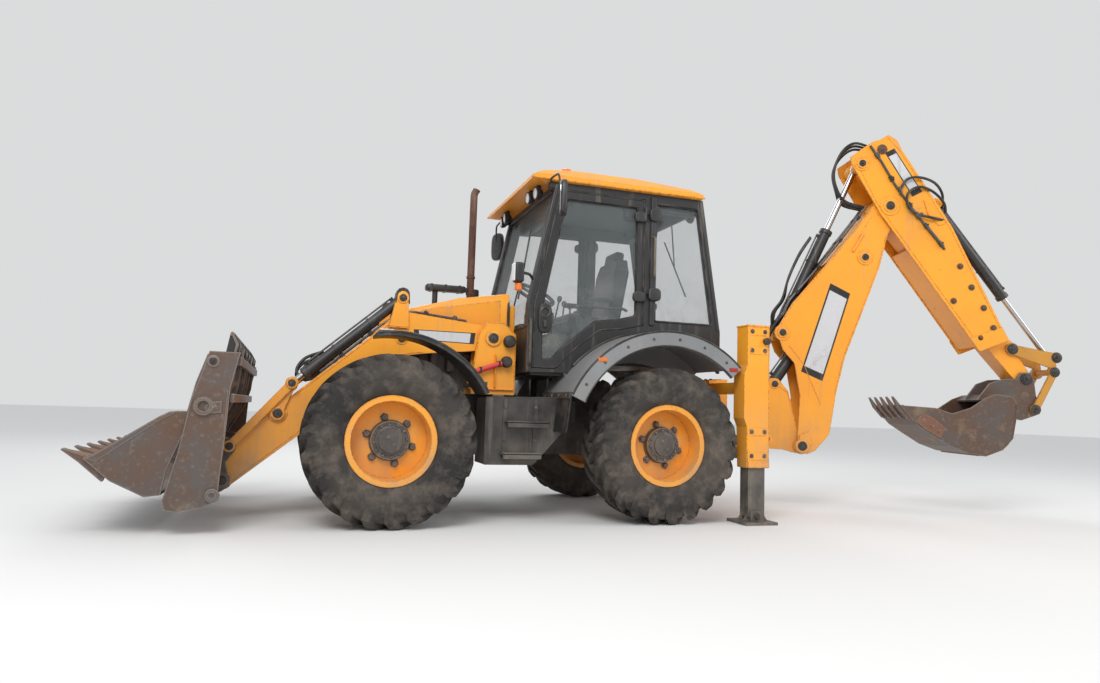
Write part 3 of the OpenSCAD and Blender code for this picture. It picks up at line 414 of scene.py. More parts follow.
def ring_of(name, item, count, phase, material):
    """Copies of a mesh turned evenly about the Y axis."""
    piece = lone_object(name, item)
    modifier = piece.modifiers.new("ring", "NODES")
    modifier.node_group = ring_tree
    modifier[ring_sockets["Count"]] = count
    modifier[ring_sockets["Phase"]] = phase
    modifier[ring_sockets["Finish"]] = material
    return evaluated_mesh(piece, name)


def faces_between(rings, sides):
    """The quads between neighbouring rings of points."""
    faces = []
    for a in range(0, (rings - 1) * sides, sides):
        for step in range(sides):
            after = (step + 1) % sides
            faces.append((a + step, a + after, a + sides + after, a + sides + step))
    return faces


def tread_bar(side):
    """One bar of the tread: it starts on the shoulder and sweeps forward to the middle."""
    steps = 7
    points = []
    for step in range(steps + 1):
        t = step / steps
        y = side * (tyre_width * 0.485 - t * (tyre_width * 0.485 + 0.012))
        lean = 0.36 * t ** 0.85
        half = 0.023 + 0.007 * (1 - t)
        drop = 0.052 * max(0.0, 1 - t * 5.0) ** 1.5
        top = tyre_radius - drop
        foot = groove_radius - 0.012 - drop * 1.3
        for radius, spread in ((foot, half * 1.35), (top, half), (top, -half), (foot, -half * 1.35)):
            angle = lean + spread / tyre_radius
            points.append((radius * math.sin(angle), y, radius * math.cos(angle)))
    faces = faces_between(steps + 1, 4)
    faces.append((0, 1, 2, 3))
    faces.append((steps * 4 + 3, steps * 4 + 2, steps * 4 + 1, steps * 4))
    return mesh_from("tread_bar", points, faces)


half_width = tyre_width / 2
carcass_profile = [
    (-half_width * 0.72, rim_radius - 0.022), (-half_width * 0.73, rim_radius + 0.004),
    (-half_width * 0.84, rim_radius + 0.016), (-half_width * 0.93, rim_radius + 0.05),
    (-half_width * 0.985, rim_radius + 0.11), (-half_width * 0.99, rim_radius + 0.118),
    (-half_width * 1.0, rim_radius + 0.124), (-half_width * 0.985, rim_radius + 0.175),
    (-half_width * 0.93, groove_radius - 0.05), (-half_width * 0.84, groove_radius - 0.016),
    (-half_width * 0.55, groove_radius)]
carcass_profile += [(-y, radius) for y, radius in reversed(carcass_profile)]
carcass = lathed("carcass", carcass_profile, 96)
smooth(carcass)
carcass.materials.append(rubber)
tread_left = ring_of("tread_left", tread_bar(1), bar_count, 0.0, rubber)
tread_right = ring_of("tread_right", tread_bar(-1), bar_count, math.pi / bar_count, rubber)
tyre_mesh = joined("tyre", [carcass, tread_left, tread_right])
for (end, side), place in wheel_places.items():
    own = tyre_mesh.copy()
    if side == "right":
        own.transform(Matrix.Rotation(math.pi, 4, "Z"))
        own.transform(Matrix.Rotation(math.pi / bar_count, 4, "Y"))
    put(own, place)
    piece = set_down(f"treaded_tyre_{end}_{side}", own, f"wheel_{end}_{side}")
    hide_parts(f"tyre_{end}_{side}")

# Hubs. Each steel rim carries the black casting of its planetary hub, turned and painted,
# with a bright ring round its cover, studs that hold the rim, and small cover screws.
hub_radius = 0.141
hub_reach = 0.103

hub_iron = paint(
    "hub_iron", (0.022, 0.021, 0.021, 1), (0.06, 0.052, 0.045, 1), (0.16, 0.13, 0.11, 1), dry_dust, 0.8,
    1.0, 0.38)
stud_steel = paint(
    "stud_steel", (0.05, 0.035, 0.028, 1), (0.11, 0.07, 0.05, 1), (0.28, 0.25, 0.22, 1), dry_dust, 0.6, 1.0,
    0.45)


def hex_bolt(radius, height, place, washer=True):
    """A bolt head on a washer, standing along +Y from its place."""
    points = []
    rings = [(0.0, radius), (height * 0.88, radius), (height, radius * 0.82)]
    if washer:
        rings[:1] = [(0.0, radius * 1.55), (height * 0.28, radius * 1.5), (height * 0.28, radius)]
    sides = 6
    for y, ring in rings:
        for step in range(sides):
            angle = math.tau * step / sides
            points.append((ring * math.sin(angle), y, ring * math.cos(angle)))
    faces = faces_between(len(rings), sides)
    faces.append(tuple(range(sides)))
    faces.append(tuple(range((len(rings) - 1) * sides, len(rings) * sides)))
    return put(mesh_from("bolt", points, faces), place)


hub_profile = [
    (0.012, 0.0), (0.012, hub_radius + 0.01), (0.026, hub_radius + 0.01), (0.028, hub_radius + 0.001),
    (0.06, hub_radius + 0.001), (0.072, hub_radius - 0.006), (0.073, 0.112), (0.08, 0.108), (0.086, 0.09),
    (0.102, 0.0855), (hub_reach, 0.076), (hub_reach + 0.003, 0.066), (hub_reach + 0.003, 0.0)]
hub_cover = lathed("hub_cover", hub_profile, 48)
smooth(hub_cover)
hub_cover.materials.append(hub_iron)
hub_ring_profile = [(0.062, 0.1385), (0.0765, 0.1385), (0.0775, 0.1345), (0.0755, 0.13), (0.062, 0.13)]
hub_ring = lathed("hub_ring", hub_ring_profile, 48)
hub_ring.materials.append(stud_steel)
wheel_nuts = ring_of("wheel_nuts", hex_bolt(0.021, 0.034, (0.0, 0.015, 0.172)), 6, 0.26, stud_steel)
cover_screws = ring_of(
    "cover_screws", hex_bolt(0.009, 0.01, (0.0, 0.076, 0.119), False), 12, 0.1, stud_steel)
fill_plug = ring_of(
    "fill_plug", hex_bolt(0.014, 0.01, (0.0, hub_reach + 0.002, 0.036), False), 2, 0.7, stud_steel)
hub_mesh = joined("hub", [hub_cover, hub_ring, wheel_nuts, cover_screws, fill_plug])
for (end, side), place in wheel_places.items():
    own = hub_mesh.copy()
    if side == "right":
        own.transform(Matrix.Rotation(math.pi, 4, "Z"))
    put(own, place)
    set_down(f"hub_{end}_{side}", own, f"wheel_{end}_{side}")

# Cylinder rods. Ground steel with hard chrome plate, bright, with a thin film of oil. Each is
# held by its piston inside the barrel and welded to its eye.
chrome, tree, shader = new_material("rod_chrome")
film = band(tree, noise(tree, object_point(tree), 9.0, 2.0), 0.35, 0.75, 0.16, 0.26)
cover(tree, shader, Base_Color=(0.5, 0.5, 0.51, 1), Roughness=film, Metallic=1.0)
finish_node(chrome, "lift_rods", "tilt_rods", "boom_rod", "dipper_rod", "hoe_rod")

# Buckets. Thick bare steel plate, welded, rusted brown and scoured grey where soil slides
# on it, with pale dry soil that clings low down and in the corners.
bucket_steel, tree, shader = new_material("bucket_steel")
rust = mottle(tree, 3.1, 9.0, 0.38, 0.62, 0.62)
tone = blend_colour(tree, rust, (0.105, 0.088, 0.08, 1), (0.125, 0.068, 0.042, 1))
scour = mottle(tree, 1.0, 8.0, 0.55, 0.72, 0.6, (30.0, 4.0, 30.0))
tone = blend_colour(tree, times(tree, scour, 0.5), tone, (0.21, 0.195, 0.185, 1))
soil = times(tree, mottle(tree, 5.2, 12.0, 0.53, 0.63, 0.72), mottle(tree, 1.2, 3.0, 0.42, 0.58))
tone = blend_colour(tree, times(tree, soil, 0.85), tone, (0.36, 0.255, 0.15, 1))
tone = blend_colour(tree, times(tree, worn_edges(tree, 0.016), 0.55), tone, (0.33, 0.3, 0.275, 1))
cover(tree, shader, Base_Color=tone, Roughness=band(tree, soil, 0.0, 1.0, 0.5, 0.95), Metallic=0.25)
grit = times(tree, noise(tree, object_point(tree), 45.0, 9.0, 0.7), 0.5)
rough_bump(tree, shader, calc(tree, "ADD", grit, soil), 0.4, 0.006)
finish_node(bucket_steel, "loader_bucket", "clam_jaw", "hoe_bucket")

# Windows. Flat toughened glass, lightly tinted, with dust towards the lower edges. Each pane
# is held in its opening by a rubber seal.
glass, tree, shader = new_material("window_glass")
haze = times(tree, mottle(tree, 4.0, 8.0, 0.45, 0.75, 0.6), height_band(tree, 1.5, 2.3))
cover(
    tree, shader, Base_Color=blend_colour(tree, haze, (0.3, 0.34, 0.34, 1), (0.45, 0.42, 0.38, 1)),
    Alpha=band(tree, haze, 0.0, 1.0, 0.14, 0.34), Roughness=band(tree, haze, 0.0, 1.0, 0.02, 0.4), IOR=1.5)
finish_node(glass, "cab_glass", "door_glass_left", "door_glass_right")

# Cab lining. Moulded black plastic with a fine grain, a little dusty on top, clipped to the
# cab's floor and posts.
trim, tree, shader = new_material("cab_trim")
film = times(tree, times(tree, upward(tree), mottle(tree, 7.0, 7.0, 0.35, 0.75)), 0.5)
tone = blend_colour(tree, film, (0.02, 0.02, 0.021, 1), (0.12, 0.11, 0.1, 1))
cover(tree, shader, Base_Color=tone, Roughness=0.62)
rough_bump(tree, shader, noise(tree, object_point(tree), 220.0, 3.0), 0.15, 0.001)
finish_node(trim, "cab_interior")

# Seat. Woven dark cloth over foam, pulled over a steel pan, on a sprung base that is bolted to
# the cab's floor.
seat_cloth, tree, shader = new_material("seat_cloth")
tone = blend_colour(
    tree, mottle(tree, 6.0, 6.0, 0.3, 0.8), (0.022, 0.022, 0.024, 1), (0.06, 0.058, 0.056, 1))
cover(tree, shader, Base_Color=tone, Roughness=0.9, Sheen_Weight=0.3)
rough_bump(tree, shader, ridges(tree, 90.0, 1.0), 0.3, 0.002)
finish_node(seat_cloth, "driver_seat")

# Lamp glass. Clear moulded lenses with fine flutes on their faces, each pressed into a black
# plastic housing.
lens, tree, shader = new_material("lamp_lens")
flutes = ridges(tree, 40.0)
cover(
    tree, shader, Base_Color=blend_colour(tree, flutes, (0.62, 0.63, 0.64, 1), (0.8, 0.8, 0.79, 1)),
    Roughness=0.12)
rough_bump(tree, shader, flutes, 0.4, 0.002)
finish_node(lens, "lamps")

# Pins. Turned steel pins lock the joints of the arms. Their dark greasy ends show in raised
# round bosses on the plates, each held by a keeper bolt and washer.
pin_steel = paint(
    "pin_steel", (0.03, 0.024, 0.021, 1), (0.05, 0.04, 0.034, 1), (0.17, 0.15, 0.13, 1),
    (0.06, 0.045, 0.035, 1), 0.5, 0.6, 0.36)
# Places are measured from the rear axle, and on the digging arm from its slew pin
front_frame = Matrix.Translation((0.06, 0.0, 0.0))
hoe_frame = Matrix.Translation((-1.44, 0.0, 0.0)) @ Matrix.Rotation(math.radians(-20.0), 4, "Z")
either_side = (1, -1)


def turned(rings, segments=28):
    """A closed turned piece along +Y from [y, radius] pairs."""
    mesh = lathed("turned", [(rings[0][0], 0.0)] + list(rings) + [(rings[-1][0], 0.0)], segments)
    smooth(mesh, 30)
    return mesh


def coated(mesh, material):
    mesh.materials.clear()
    mesh.materials.append(material)
    return mesh


def coated_all(meshes, material):
    return [coated(mesh, material) for mesh in meshes]


def pin_end(radius, proud, boss_paint):
    """The end of a pin in its raised boss, with its keeper bolt, pointing along +Y."""
    boss = turned([(-0.004, radius * 1.55), (proud * 0.45, radius * 1.55), (proud * 0.6, radius * 1.42)])
    face = turned([(0.0, radius), (proud, radius), (proud * 1.25, radius * 0.86)])
    head = hex_bolt(radius * 0.3, proud * 0.9, (0.0, proud * 1.2, 0.0))
    return [coated(boss, boss_paint), coated(face, pin_steel), coated(head, pin_steel)]


def moved(meshes, place_frame):
    for mesh in meshes:
        mesh.transform(place_frame)
    return meshes


def on_side(mesh, side, x, y, z):
    """Sets a mesh that points along +Y on the left (1) or the right (-1) side."""
    return put(mesh, (x, side * y, z), 0 if side > 0 else 180, "Z")


def add_pins(name, body, place_frame, places, boss_paint=None):
    """Pin ends on both sides in one piece. places are (x, z, y, radius)."""
    meshes = []
    for x, z, y, radius in places:
        for side in either_side:
            for mesh in pin_end(radius, 0.011, boss_paint or yellow):
                meshes.append(on_side(mesh, side, x, y, z))
    set_down(name, joined(name, moved(meshes, place_frame)), body)


def dipper_point(along, behind):
    """A pin of the dipper as (x, z) in the digging arm's frame."""
    reach = dipper_top[0] + dipper_way[0] * along - dipper_way[1] * behind
    height = dipper_top[1] + dipper_way[1] * along + dipper_way[0] * behind
    return -reach, height


dipper_top = Vector((1.315, 3.028))
bucket_pin_at = Vector((2.655, 1.335))
dipper_way = (bucket_pin_at - dipper_top).normalized()
crowd_pin = dipper_point(-0.506, 0.051)
hoe_ram_pin = dipper_point(0.269, 0.45)
tip_pivot = dipper_point(1.85, 0.083)
tip_ram_pin = dipper_point(2.171, 0.372)
tip_top_pin = dipper_point(2.261, 0.251)
hitch_link_pin = dipper_point(2.434, -0.128)

add_pins("boom_pins", "boom", hoe_frame, [(-0.263, 1.726, 0.173, 0.034), (-1.078, 2.506, 0.173, 0.034)])
add_pins("dipper_pins", "dipper", hoe_frame, [(-1.315, 3.028, 0.207, 0.043), (*crowd_pin, 0.208, 0.034)])
add_pins(
    "kingpost_pins", "kingpost", hoe_frame, [(-0.457, 0.613, 0.176, 0.045), (-0.2, 1.215, 0.125, 0.032)])
add_pins(
    "tip_lever_pins", "tip_lever", hoe_frame,
    [(*tip_pivot, 0.136, 0.034), (*tip_ram_pin, 0.136, 0.032), (*tip_top_pin, 0.165, 0.031)],
    boss_paint=black)
add_pins("tip_link_pins", "tip_link", hoe_frame, [(*hitch_link_pin, 0.162, 0.031)], boss_paint=black)
add_pins("hoe_bucket_pins", "hoe_bucket", hoe_frame, [(-2.655, 1.335, 0.14, 0.036)], black)
add_pins("tower_pins", "chassis", front_frame, [(1.348, 1.462, 0.585, 0.042), (1.7, 0.52, 0.44, 0.026)])
add_pins("arm_pins", "loader_arms", front_frame, [(2.097, 1.745, 0.563, 0.03), (2.09, 1.423, 0.545, 0.034)])
add_pins("lever_pins", "tilt_levers", front_frame, [(2.99, 0.8, 0.569, 0.034), (2.901, 1.03, 0.598, 0.028)])
add_pins(
    "loader_bucket_pins", "loader_bucket", front_frame,
    [(3.345, 0.3, 0.569, 0.036), (3.4, 1.14, 1.2, 0.026)], bucket_steel)
add_pins("tilt_link_pins", "tilt_links", front_frame, [(3.31, 0.55, 0.599, 0.028)])

# Plates and pipes. Every bracket, cover and pipe further on is cut from plate with broken
# edges, or bent from round tube. Welds are rows of small overlapping ripples.


def slab(outline, y0, y1, edge=0.004, cuts=1):
    """A plate from [x, z] points, from y0 to y1, with broken edges."""
    count = len(outline)
    points = [(x, y, z) for y in sorted((y0, y1)) for x, z in outline]
    faces = [tuple(range(count)), tuple(range(2 * count - 1, count - 1, -1))]
    faces += [(i, (i + 1) % count, count + (i + 1) % count, count + i) for i in range(count)]
    mesh = mesh_from("slab", points, faces)
    work = bmesh.new()
    work.from_mesh(mesh)
    sharp = [seam for seam in work.edges if seam.calc_face_angle(0.0) > math.radians(25.0)]
    bmesh.ops.bevel(
        work, geom=sharp, offset=edge, segments=cuts, profile=0.5, affect="EDGES", clamp_overlap=True)
    work.to_mesh(mesh)
    work.free()
    return mesh


def brick(low, high, edge=0.004, cuts=1):
    (x0, y0, z0), (x1, y1, z1) = low, high
    return slab([(x0, z0), (x1, z0), (x1, z1), (x0, z1)], y0, y1, edge, cuts)


def mirrored(mesh):
    """A copy on the machine's other side."""
    other = mesh.copy()
    other.transform(Matrix.Scale(-1, 4, (0, 1, 0)))
    other.flip_normals()
    return other


def on_both(meshes):
    return list(meshes) + [mirrored(mesh) for mesh in meshes]


def add_piece(name, meshes, body, material=None, place_frame=None):
    """Several meshes as one piece of the scene, moved from a frame's own place."""
    if material is not None:
        for mesh in meshes:
            coated(mesh, material)
    return set_down(name, joined(name, moved(meshes, place_frame or front_frame)), body)


def curve_through(controls, steps=6):
    """A smooth line through a few points."""
    line = [Vector(point) for point in controls]
    padded_line = [line[0] * 2 - line[1]] + line + [line[-1] * 2 - line[-2]]
    result = []
    for index in range(1, len(padded_line) - 2):
        a, b, c, d = padded_line[index - 1 : index + 3]
        bow = 2 * a - 5 * b + 4 * c - d
        sway = 3 * b - a - 3 * c + d
        for step in range(steps):
            t = step / steps
            result.append(0.5 * (2 * b + (c - a) * t + bow * t * t + sway * t ** 3))
    result.append(line[-1])
    return result


def bent_line(corners_of_pipe, bend, steps=4):
    """A line of straight runs whose corners are bent round."""
    line = [Vector(point) for point in corners_of_pipe]
    result = [line[0]]
    for before, corner, after in zip(line, line[1:], line[2:]):
        start = corner + (before - corner).normalized() * min(bend, (before - corner).length * 0.49)
        finish = corner + (after - corner).normalized() * min(bend, (after - corner).length * 0.49)
        for step in range(steps + 1):
            t = step / steps
            result.append(start * (1 - t) ** 2 + corner * 2 * t * (1 - t) + finish * t * t)
    result.append(line[-1])
    return result


def tube(line, radius, sides=10):
    """A round solid along a line of points, closed at its ends. radius may be a function of the index."""
    size = radius if callable(radius) else lambda index: radius
    side_way = None
    points = []
    for index, point in enumerate(line):
        along = (Vector(line[min(index + 1, len(line) - 1)]) - Vector(line[max(index - 1, 0)])).normalized()
        side_way = along.orthogonal() if side_way is None else side_way
        side_way = (side_way - along * side_way.dot(along)).normalized()
        up_way = along.cross(side_way)
        for step in range(sides):
            angle = math.tau * step / sides
            points.append(
                Vector(point) + (side_way * math.cos(angle) + up_way * math.sin(angle)) * size(index))
    faces = faces_between(len(line), sides)
    faces.append(tuple(range(sides - 1, -1, -1)))
    faces.append(tuple(range((len(line) - 1) * sides, len(line) * sides)))
    mesh = mesh_from("tube", points, faces)
    smooth(mesh, 40)
    return mesh


def weld(a, b, radius=0.005):
    """A fillet weld's bead with its ripples, between two points."""
    a = Vector(a)
    b = Vector(b)
    count = max(4, int((b - a).length / 0.012))
    line = [a.lerp(b, index / count) for index in range(count + 1)]
    return tube(line, lambda index: radius * (1.0 if index % 2 else 0.78), 6)


def seam_along(line, y, radius):
    """Weld beads along [x, z] points on a sideways plane."""
    return [weld((a[0], y, a[1]), (b[0], y, b[1]), radius) for a, b in zip(line, line[1:])]


def toward(way):
    """Turns what points along +Y to another direction."""
    return Vector((0, 1, 0)).rotation_difference(Vector(way)).to_matrix().to_4x4()


def bolts_at(places, radius=0.011, height=0.009, way=(0, 1, 0)):
    """Bolt heads standing along a direction."""
    turn_to = toward(way)
    result = []
    for place in places:
        mesh = hex_bolt(radius, height, (0, 0, 0))
        mesh.transform(Matrix.Translation(place) @ turn_to)
        result.append(mesh)
    return result

# Loader bucket. Welded plate: side plates with a hook eye and a boss, a stiffened back, a
# guard over the jaw's hidden rams, a worn lip bar, and a row of long pointed tines.
bucket_half = 1.2
side_face = bucket_half + 0.001

eye_line = [(3.365, side_face + 0.012, 0.845)]
for degrees in range(210, -31, -20):
    angle = math.radians(degrees)
    eye_line.append((3.44 + 0.052 * math.cos(angle), side_face + 0.012, 0.842 + 0.047 * math.sin(angle)))
side_parts = [tube(eye_line, 0.011, 8)]
side_parts.append(slab(
    [(3.33, 0.8), (3.42, 0.79), (3.44, 0.83), (3.41, 0.87), (3.33, 0.88)], side_face - 0.002,
    side_face + 0.01))
boss_line = [(-0.002, 0.046), (0.016, 0.046), (0.022, 0.04), (0.022, 0.022), (0.012, 0.02)]
side_parts.append(put(turned(boss_line), (3.352, side_face, 0.262)))
side_parts.append(weld((3.3, side_face, 0.955), (3.306, side_face, 0.64), 0.004))
side_parts += seam_along([(3.64, 0.235), (3.57, 0.545), (3.5, 0.96)], side_face, 0.005)
add_piece("bucket_side_fittings", on_both(side_parts), "loader_bucket", bucket_steel)

guard = []
for side in either_side:
    for start in (0.06, 0.44, 0.82):
        cover_line = [
            (3.262, 1.196), (3.25, 1.262), (3.29, 1.33), (3.305, 1.326), (3.268, 1.258), (3.28, 1.196)]
        guard.append(slab(cover_line, side * start, side * (start + 0.33), 0.003))
guard.append(tube([(3.296, -1.17, 1.33), (3.296, 1.17, 1.33)], 0.014, 10))
for y in (-1.165, -0.79, -0.41, 0.0, 0.41, 0.79, 1.165):
    guard.append(slab(
        [(3.275, 1.19), (3.25, 1.2), (3.244, 1.266), (3.284, 1.336), (3.31, 1.33), (3.33, 1.206)],
        y - 0.006, y + 0.006))
add_piece("bucket_guard", guard, "loader_bucket", black)

back_ribs = []
for y in (-0.86, -0.28, 0.0, 0.28, 0.86):
    back_ribs.append(slab(
        [
            (3.446, 0.64), (3.33, 0.846), (3.292, 1.0), (3.276, 1.18), (3.238, 1.176), (3.256, 0.985),
            (3.3, 0.83), (3.42, 0.61)],
        y - 0.008, y + 0.008))
for z, x in ((1.15, 3.256), (0.9, 3.288)):
    back_ribs.append(brick((x - 0.03, -1.17, z - 0.03), (x, 1.17, z + 0.03), 0.006, 2))
for side in either_side:
    for y in (0.425, 0.575):
        back_ribs.append(weld((3.452, side * y, 0.6), (3.474, side * y, 0.235), 0.007))
add_piece("bucket_back_ribs", back_ribs, "loader_bucket", bucket_steel)

lip = [slab([(4.12, 0.494), (4.098, 0.512), (3.985, 0.408), (3.998, 0.382)], -1.15, 1.15, 0.005, 2)]
lip.append(weld((3.985, -1.15, 0.41), (3.985, 1.15, 0.41), 0.005))
bolt_row = [(4.052, -1.05 + 0.153 * index, 0.474) for index in range(14)]
lip += bolts_at(bolt_row, 0.012, 0.01, (-0.66, 0, 0.75))
for side in either_side:
    lip.append(slab(
        [
            (4.116, 0.492), (4.06, 0.52), (3.7, 0.77), (3.64, 0.802), (3.6, 0.806), (3.61, 0.786),
            (3.69, 0.742), (4.046, 0.47)],
        side * 1.161 - 0.016, side * 1.161 + 0.016, 0.005))
    lip.append(weld((3.757, side * 1.15, 0.262), (3.664, side * 1.15, 0.275), 0.006))
add_piece("jaw_lip", lip, "clam_jaw", bucket_steel)

tine_steel = paint(
    "tine_steel", (0.17, 0.072, 0.04, 1), (0.2, 0.1, 0.06, 1), (0.3, 0.25, 0.22, 1), (0.3, 0.2, 0.12, 1),
    1.0, 1.0, 0.55)
tines = []
for index in range(8):
    y = 1.12 * (2 * index / 7 - 1)
    tines.append(tube(
        [(4.07, y, 0.492), (4.14, y, 0.512), (4.205, y, 0.534), (4.244, y, 0.549)],
        lambda index: (0.026, 0.022, 0.013, 0.003)[index], 10))
    tines.append(brick((4.02, y - 0.033, 0.462), (4.075, y + 0.033, 0.5), 0.006, 2))
add_piece("jaw_tines", tines, "clam_jaw", tine_steel)

# Loader arms. Box section arms of welded plate, with a black capped bracket for each tilt ram,
# weld lines, turned sleeves round their pins, and steel pipes clamped along their tops.
arm_outer = 0.545
arm_inner = 0.455
pipe_steel = paint(
    "pipe_steel", (0.055, 0.052, 0.05, 1), (0.1, 0.09, 0.08, 1), (0.2, 0.17, 0.14, 1), dry_dust, 0.5, 1.0,
    0.35)
hose_rubber, tree, shader = new_material("hose_rubber")
film = times(tree, mottle(tree, 9.0, 7.0, 0.42, 0.75), 0.45)
tone = blend_colour(tree, film, (0.012, 0.012, 0.012, 1), (0.16, 0.13, 0.105, 1))
cover(tree, shader, Base_Color=tone, Roughness=0.55)
rough_bump(tree, shader, ridges(tree, 130.0, 0.6, "DIAGONAL"), 0.15, 0.001)

cap_line = [
    (2.04, 1.7), (2.046, 1.79), (2.062, 1.818), (2.098, 1.83), (2.134, 1.818), (2.148, 1.79), (2.158, 1.7),
    (2.148, 1.7), (2.136, 1.78), (2.098, 1.808), (2.058, 1.78), (2.052, 1.7)]
caps = [slab(cap_line, side * 0.5 - 0.066, side * 0.5 + 0.066, 0.004, 2) for side in either_side]
add_piece("tilt_ram_caps", caps, "loader_arms", black)

arm_lines = []
for side in either_side:
    for y in (side * (arm_outer + 0.001), side * (arm_inner - 0.001)):
        for line in (
            [(2.1, 1.61), (2.3, 1.436), (3.28, 0.59)], [(2.83, 0.668), (3.29, 0.284)],
            [(1.92, 1.322), (2.11, 1.29)],
        ):
            arm_lines += seam_along(line, y, 0.0035)
    for x0, x1, z in ((2.045, 2.195, 1.515), (2.06, 2.19, 1.505)):
        arm_lines.append(weld(
            (x0, side * (arm_outer + 0.019), z), (x1, side * (arm_outer + 0.019), z), 0.004))
add_piece("arm_welds", arm_lines, "loader_arms", yellow)

sleeves = []
for x, z, radius in ((2.99, 0.8, 0.074), (3.345, 0.3, 0.07), (1.348, 1.462, 0.118)):
    sleeves.append(put(
        turned([(-0.002, radius), (0.01, radius), (0.014, radius - 0.006)], 32), (x, arm_outer - 0.008, z)))
for y in (-0.33, 0.33):
    sleeves.append(put(turned([(-0.01, 0.088), (0.01, 0.088)], 32), (2.7, y, 0.86)))
add_piece("arm_sleeves", on_both(sleeves[:3]) + sleeves[3:], "loader_arms", yellow)

arm_pipes = []
arm_clips = []
for side in either_side:
    for lane in (0.47, 0.496):
        y = side * lane
        arm_pipes.append(tube(
            bent_line(
                [(1.56, y, 1.6), (2.02, y, 1.652), (2.215, y, 1.556), (2.56, y, 1.252), (2.7, y, 1.13)],
                0.07),
            0.0095, 8))
    for x, z in ((1.66, 1.613), (1.9, 1.638), (2.33, 1.446), (2.54, 1.262)):
        slope = -0.72 if x > 2.2 else 0.1
        clip = brick((-0.017, -0.03, -0.016), (0.017, 0.03, 0.02), 0.004)
        clip.transform(Matrix.Translation((x, side * 0.483, z)) @ Matrix.Rotation(-slope, 4, "Y"))
        arm_clips.append(clip)
        arm_clips += bolts_at([(x, side * 0.483, z + 0.019)], 0.007, 0.008, (0, 0, 1))
add_piece("arm_pipes", arm_pipes, "loader_arms", pipe_steel)
add_piece("arm_pipe_clips", arm_clips, "loader_arms", black)

# Rams. Each steel barrel has a turned gland nut with a rubber wiper, a weld bead at its base
# eye, and two welded ports joined by a steel pipe that is strapped to it.


def ram_dress(
    name, body, place_frame, start, finish, side, radius, closed, eye, rod_radius, ports_up=1, copies=(1,)
):
    """Gland, ports and pipe of a barrel from its base pin towards its rod's pin, as (x, z)."""
    way = Vector((finish[0] - start[0], 0, finish[1] - start[1])).normalized()
    turn_to = toward(way)
    long = closed - 2 * eye
    meshes = []
    for sign in copies:
        base = Vector((start[0], sign * side, start[1]))
        along_frame = Matrix.Translation(base) @ turn_to
        gland = turned(
            [
                (long - 0.044, radius + 0.003), (long - 0.04, radius + 0.009),
                (long - 0.004, radius + 0.009), (long + 0.001, radius + 0.002)],
            32)
        wiper = lathed(
            "wiper",
            [
                (long - 0.002, rod_radius + 0.001), (long - 0.002, rod_radius + 0.011),
                (long + 0.006, rod_radius + 0.009), (long + 0.007, rod_radius + 0.001)],
            24)
        seam = turned(
            [(eye * 1.25, radius + 0.001), (eye * 1.32, radius + 0.004), (eye * 1.45, radius + 0.001)], 32)
        for mesh, finish_of in ((gland, black), (wiper, hose_rubber), (seam, black)):
            mesh.transform(along_frame)
            meshes.append(coated(mesh, finish_of))
        top_way = Vector((-way.z, 0, way.x)) * ports_up
        for at in (eye * 2.0, long - 0.085):
            foot = base + way * at
            meshes.append(coated(
                tube([foot + top_way * (radius - 0.01), foot + top_way * (radius + 0.022)], 0.017, 12),
                black))
        near_port = base + way * eye * 2.4 + top_way * (radius + 0.016)
        far_port = base + way * (long - 0.085) + top_way * (radius + 0.016)
        meshes.append(coated(
            tube(bent_line([near_port, far_port, far_port - top_way * 0.02], 0.015), 0.008, 8), pipe_steel))
        for share in (0.3, 0.72):
            clamp = near_port.lerp(far_port, share)
            strap = lathed(
                "strap",
                [
                    (-0.01, radius + 0.0005), (-0.01, radius + 0.005), (0.01, radius + 0.005),
                    (0.01, radius + 0.0005)],
                28)
            strap.transform(Matrix.Translation(clamp - top_way * (radius + 0.016)) @ turn_to)
            meshes.append(coated(strap, black))
    set_down(name, joined(name, moved(meshes, place_frame)), body)


ram_dress(
    "lift_ram_fittings", "lift_barrels", front_frame, (1.7, 0.52), (2.09, 1.423), 0.398, 0.046, 0.94, 0.044,
    0.028, 1, either_side)
ram_dress(
    "tilt_ram_fittings", "tilt_barrels", front_frame, (2.097, 1.745), (2.901, 1.03), 0.5, 0.04, 1.04, 0.036,
    0.025, 1, either_side)
ram_dress(
    "boom_ram_fittings", "boom_barrel", hoe_frame, (-0.2, 1.215), (-1.078, 2.506), 0.0, 0.06, 1.4, 0.045,
    0.032, -1)
ram_dress(
    "dipper_ram_fittings", "dipper_barrel", hoe_frame, (-0.263, 1.726), crowd_pin, 0.0, 0.055, 1.275, 0.045,
    0.03, -1)
ram_dress(
    "hoe_ram_fittings", "hoe_barrel", hoe_frame, hoe_ram_pin, tip_ram_pin, 0.0, 0.05, 1.25, 0.042, 0.028, -1
)

# Hood. Thin pressed steel with a wide rounded shoulder, hinged at its front, and a fixed cover
# on its right that the exhaust passes through. Bolted catches and a rubber seal close it.
hood_line = [(2.06, 1.43), (2.05, 1.64), (2.0, 1.7), (1.6, 1.81), (1.16, 1.885)]


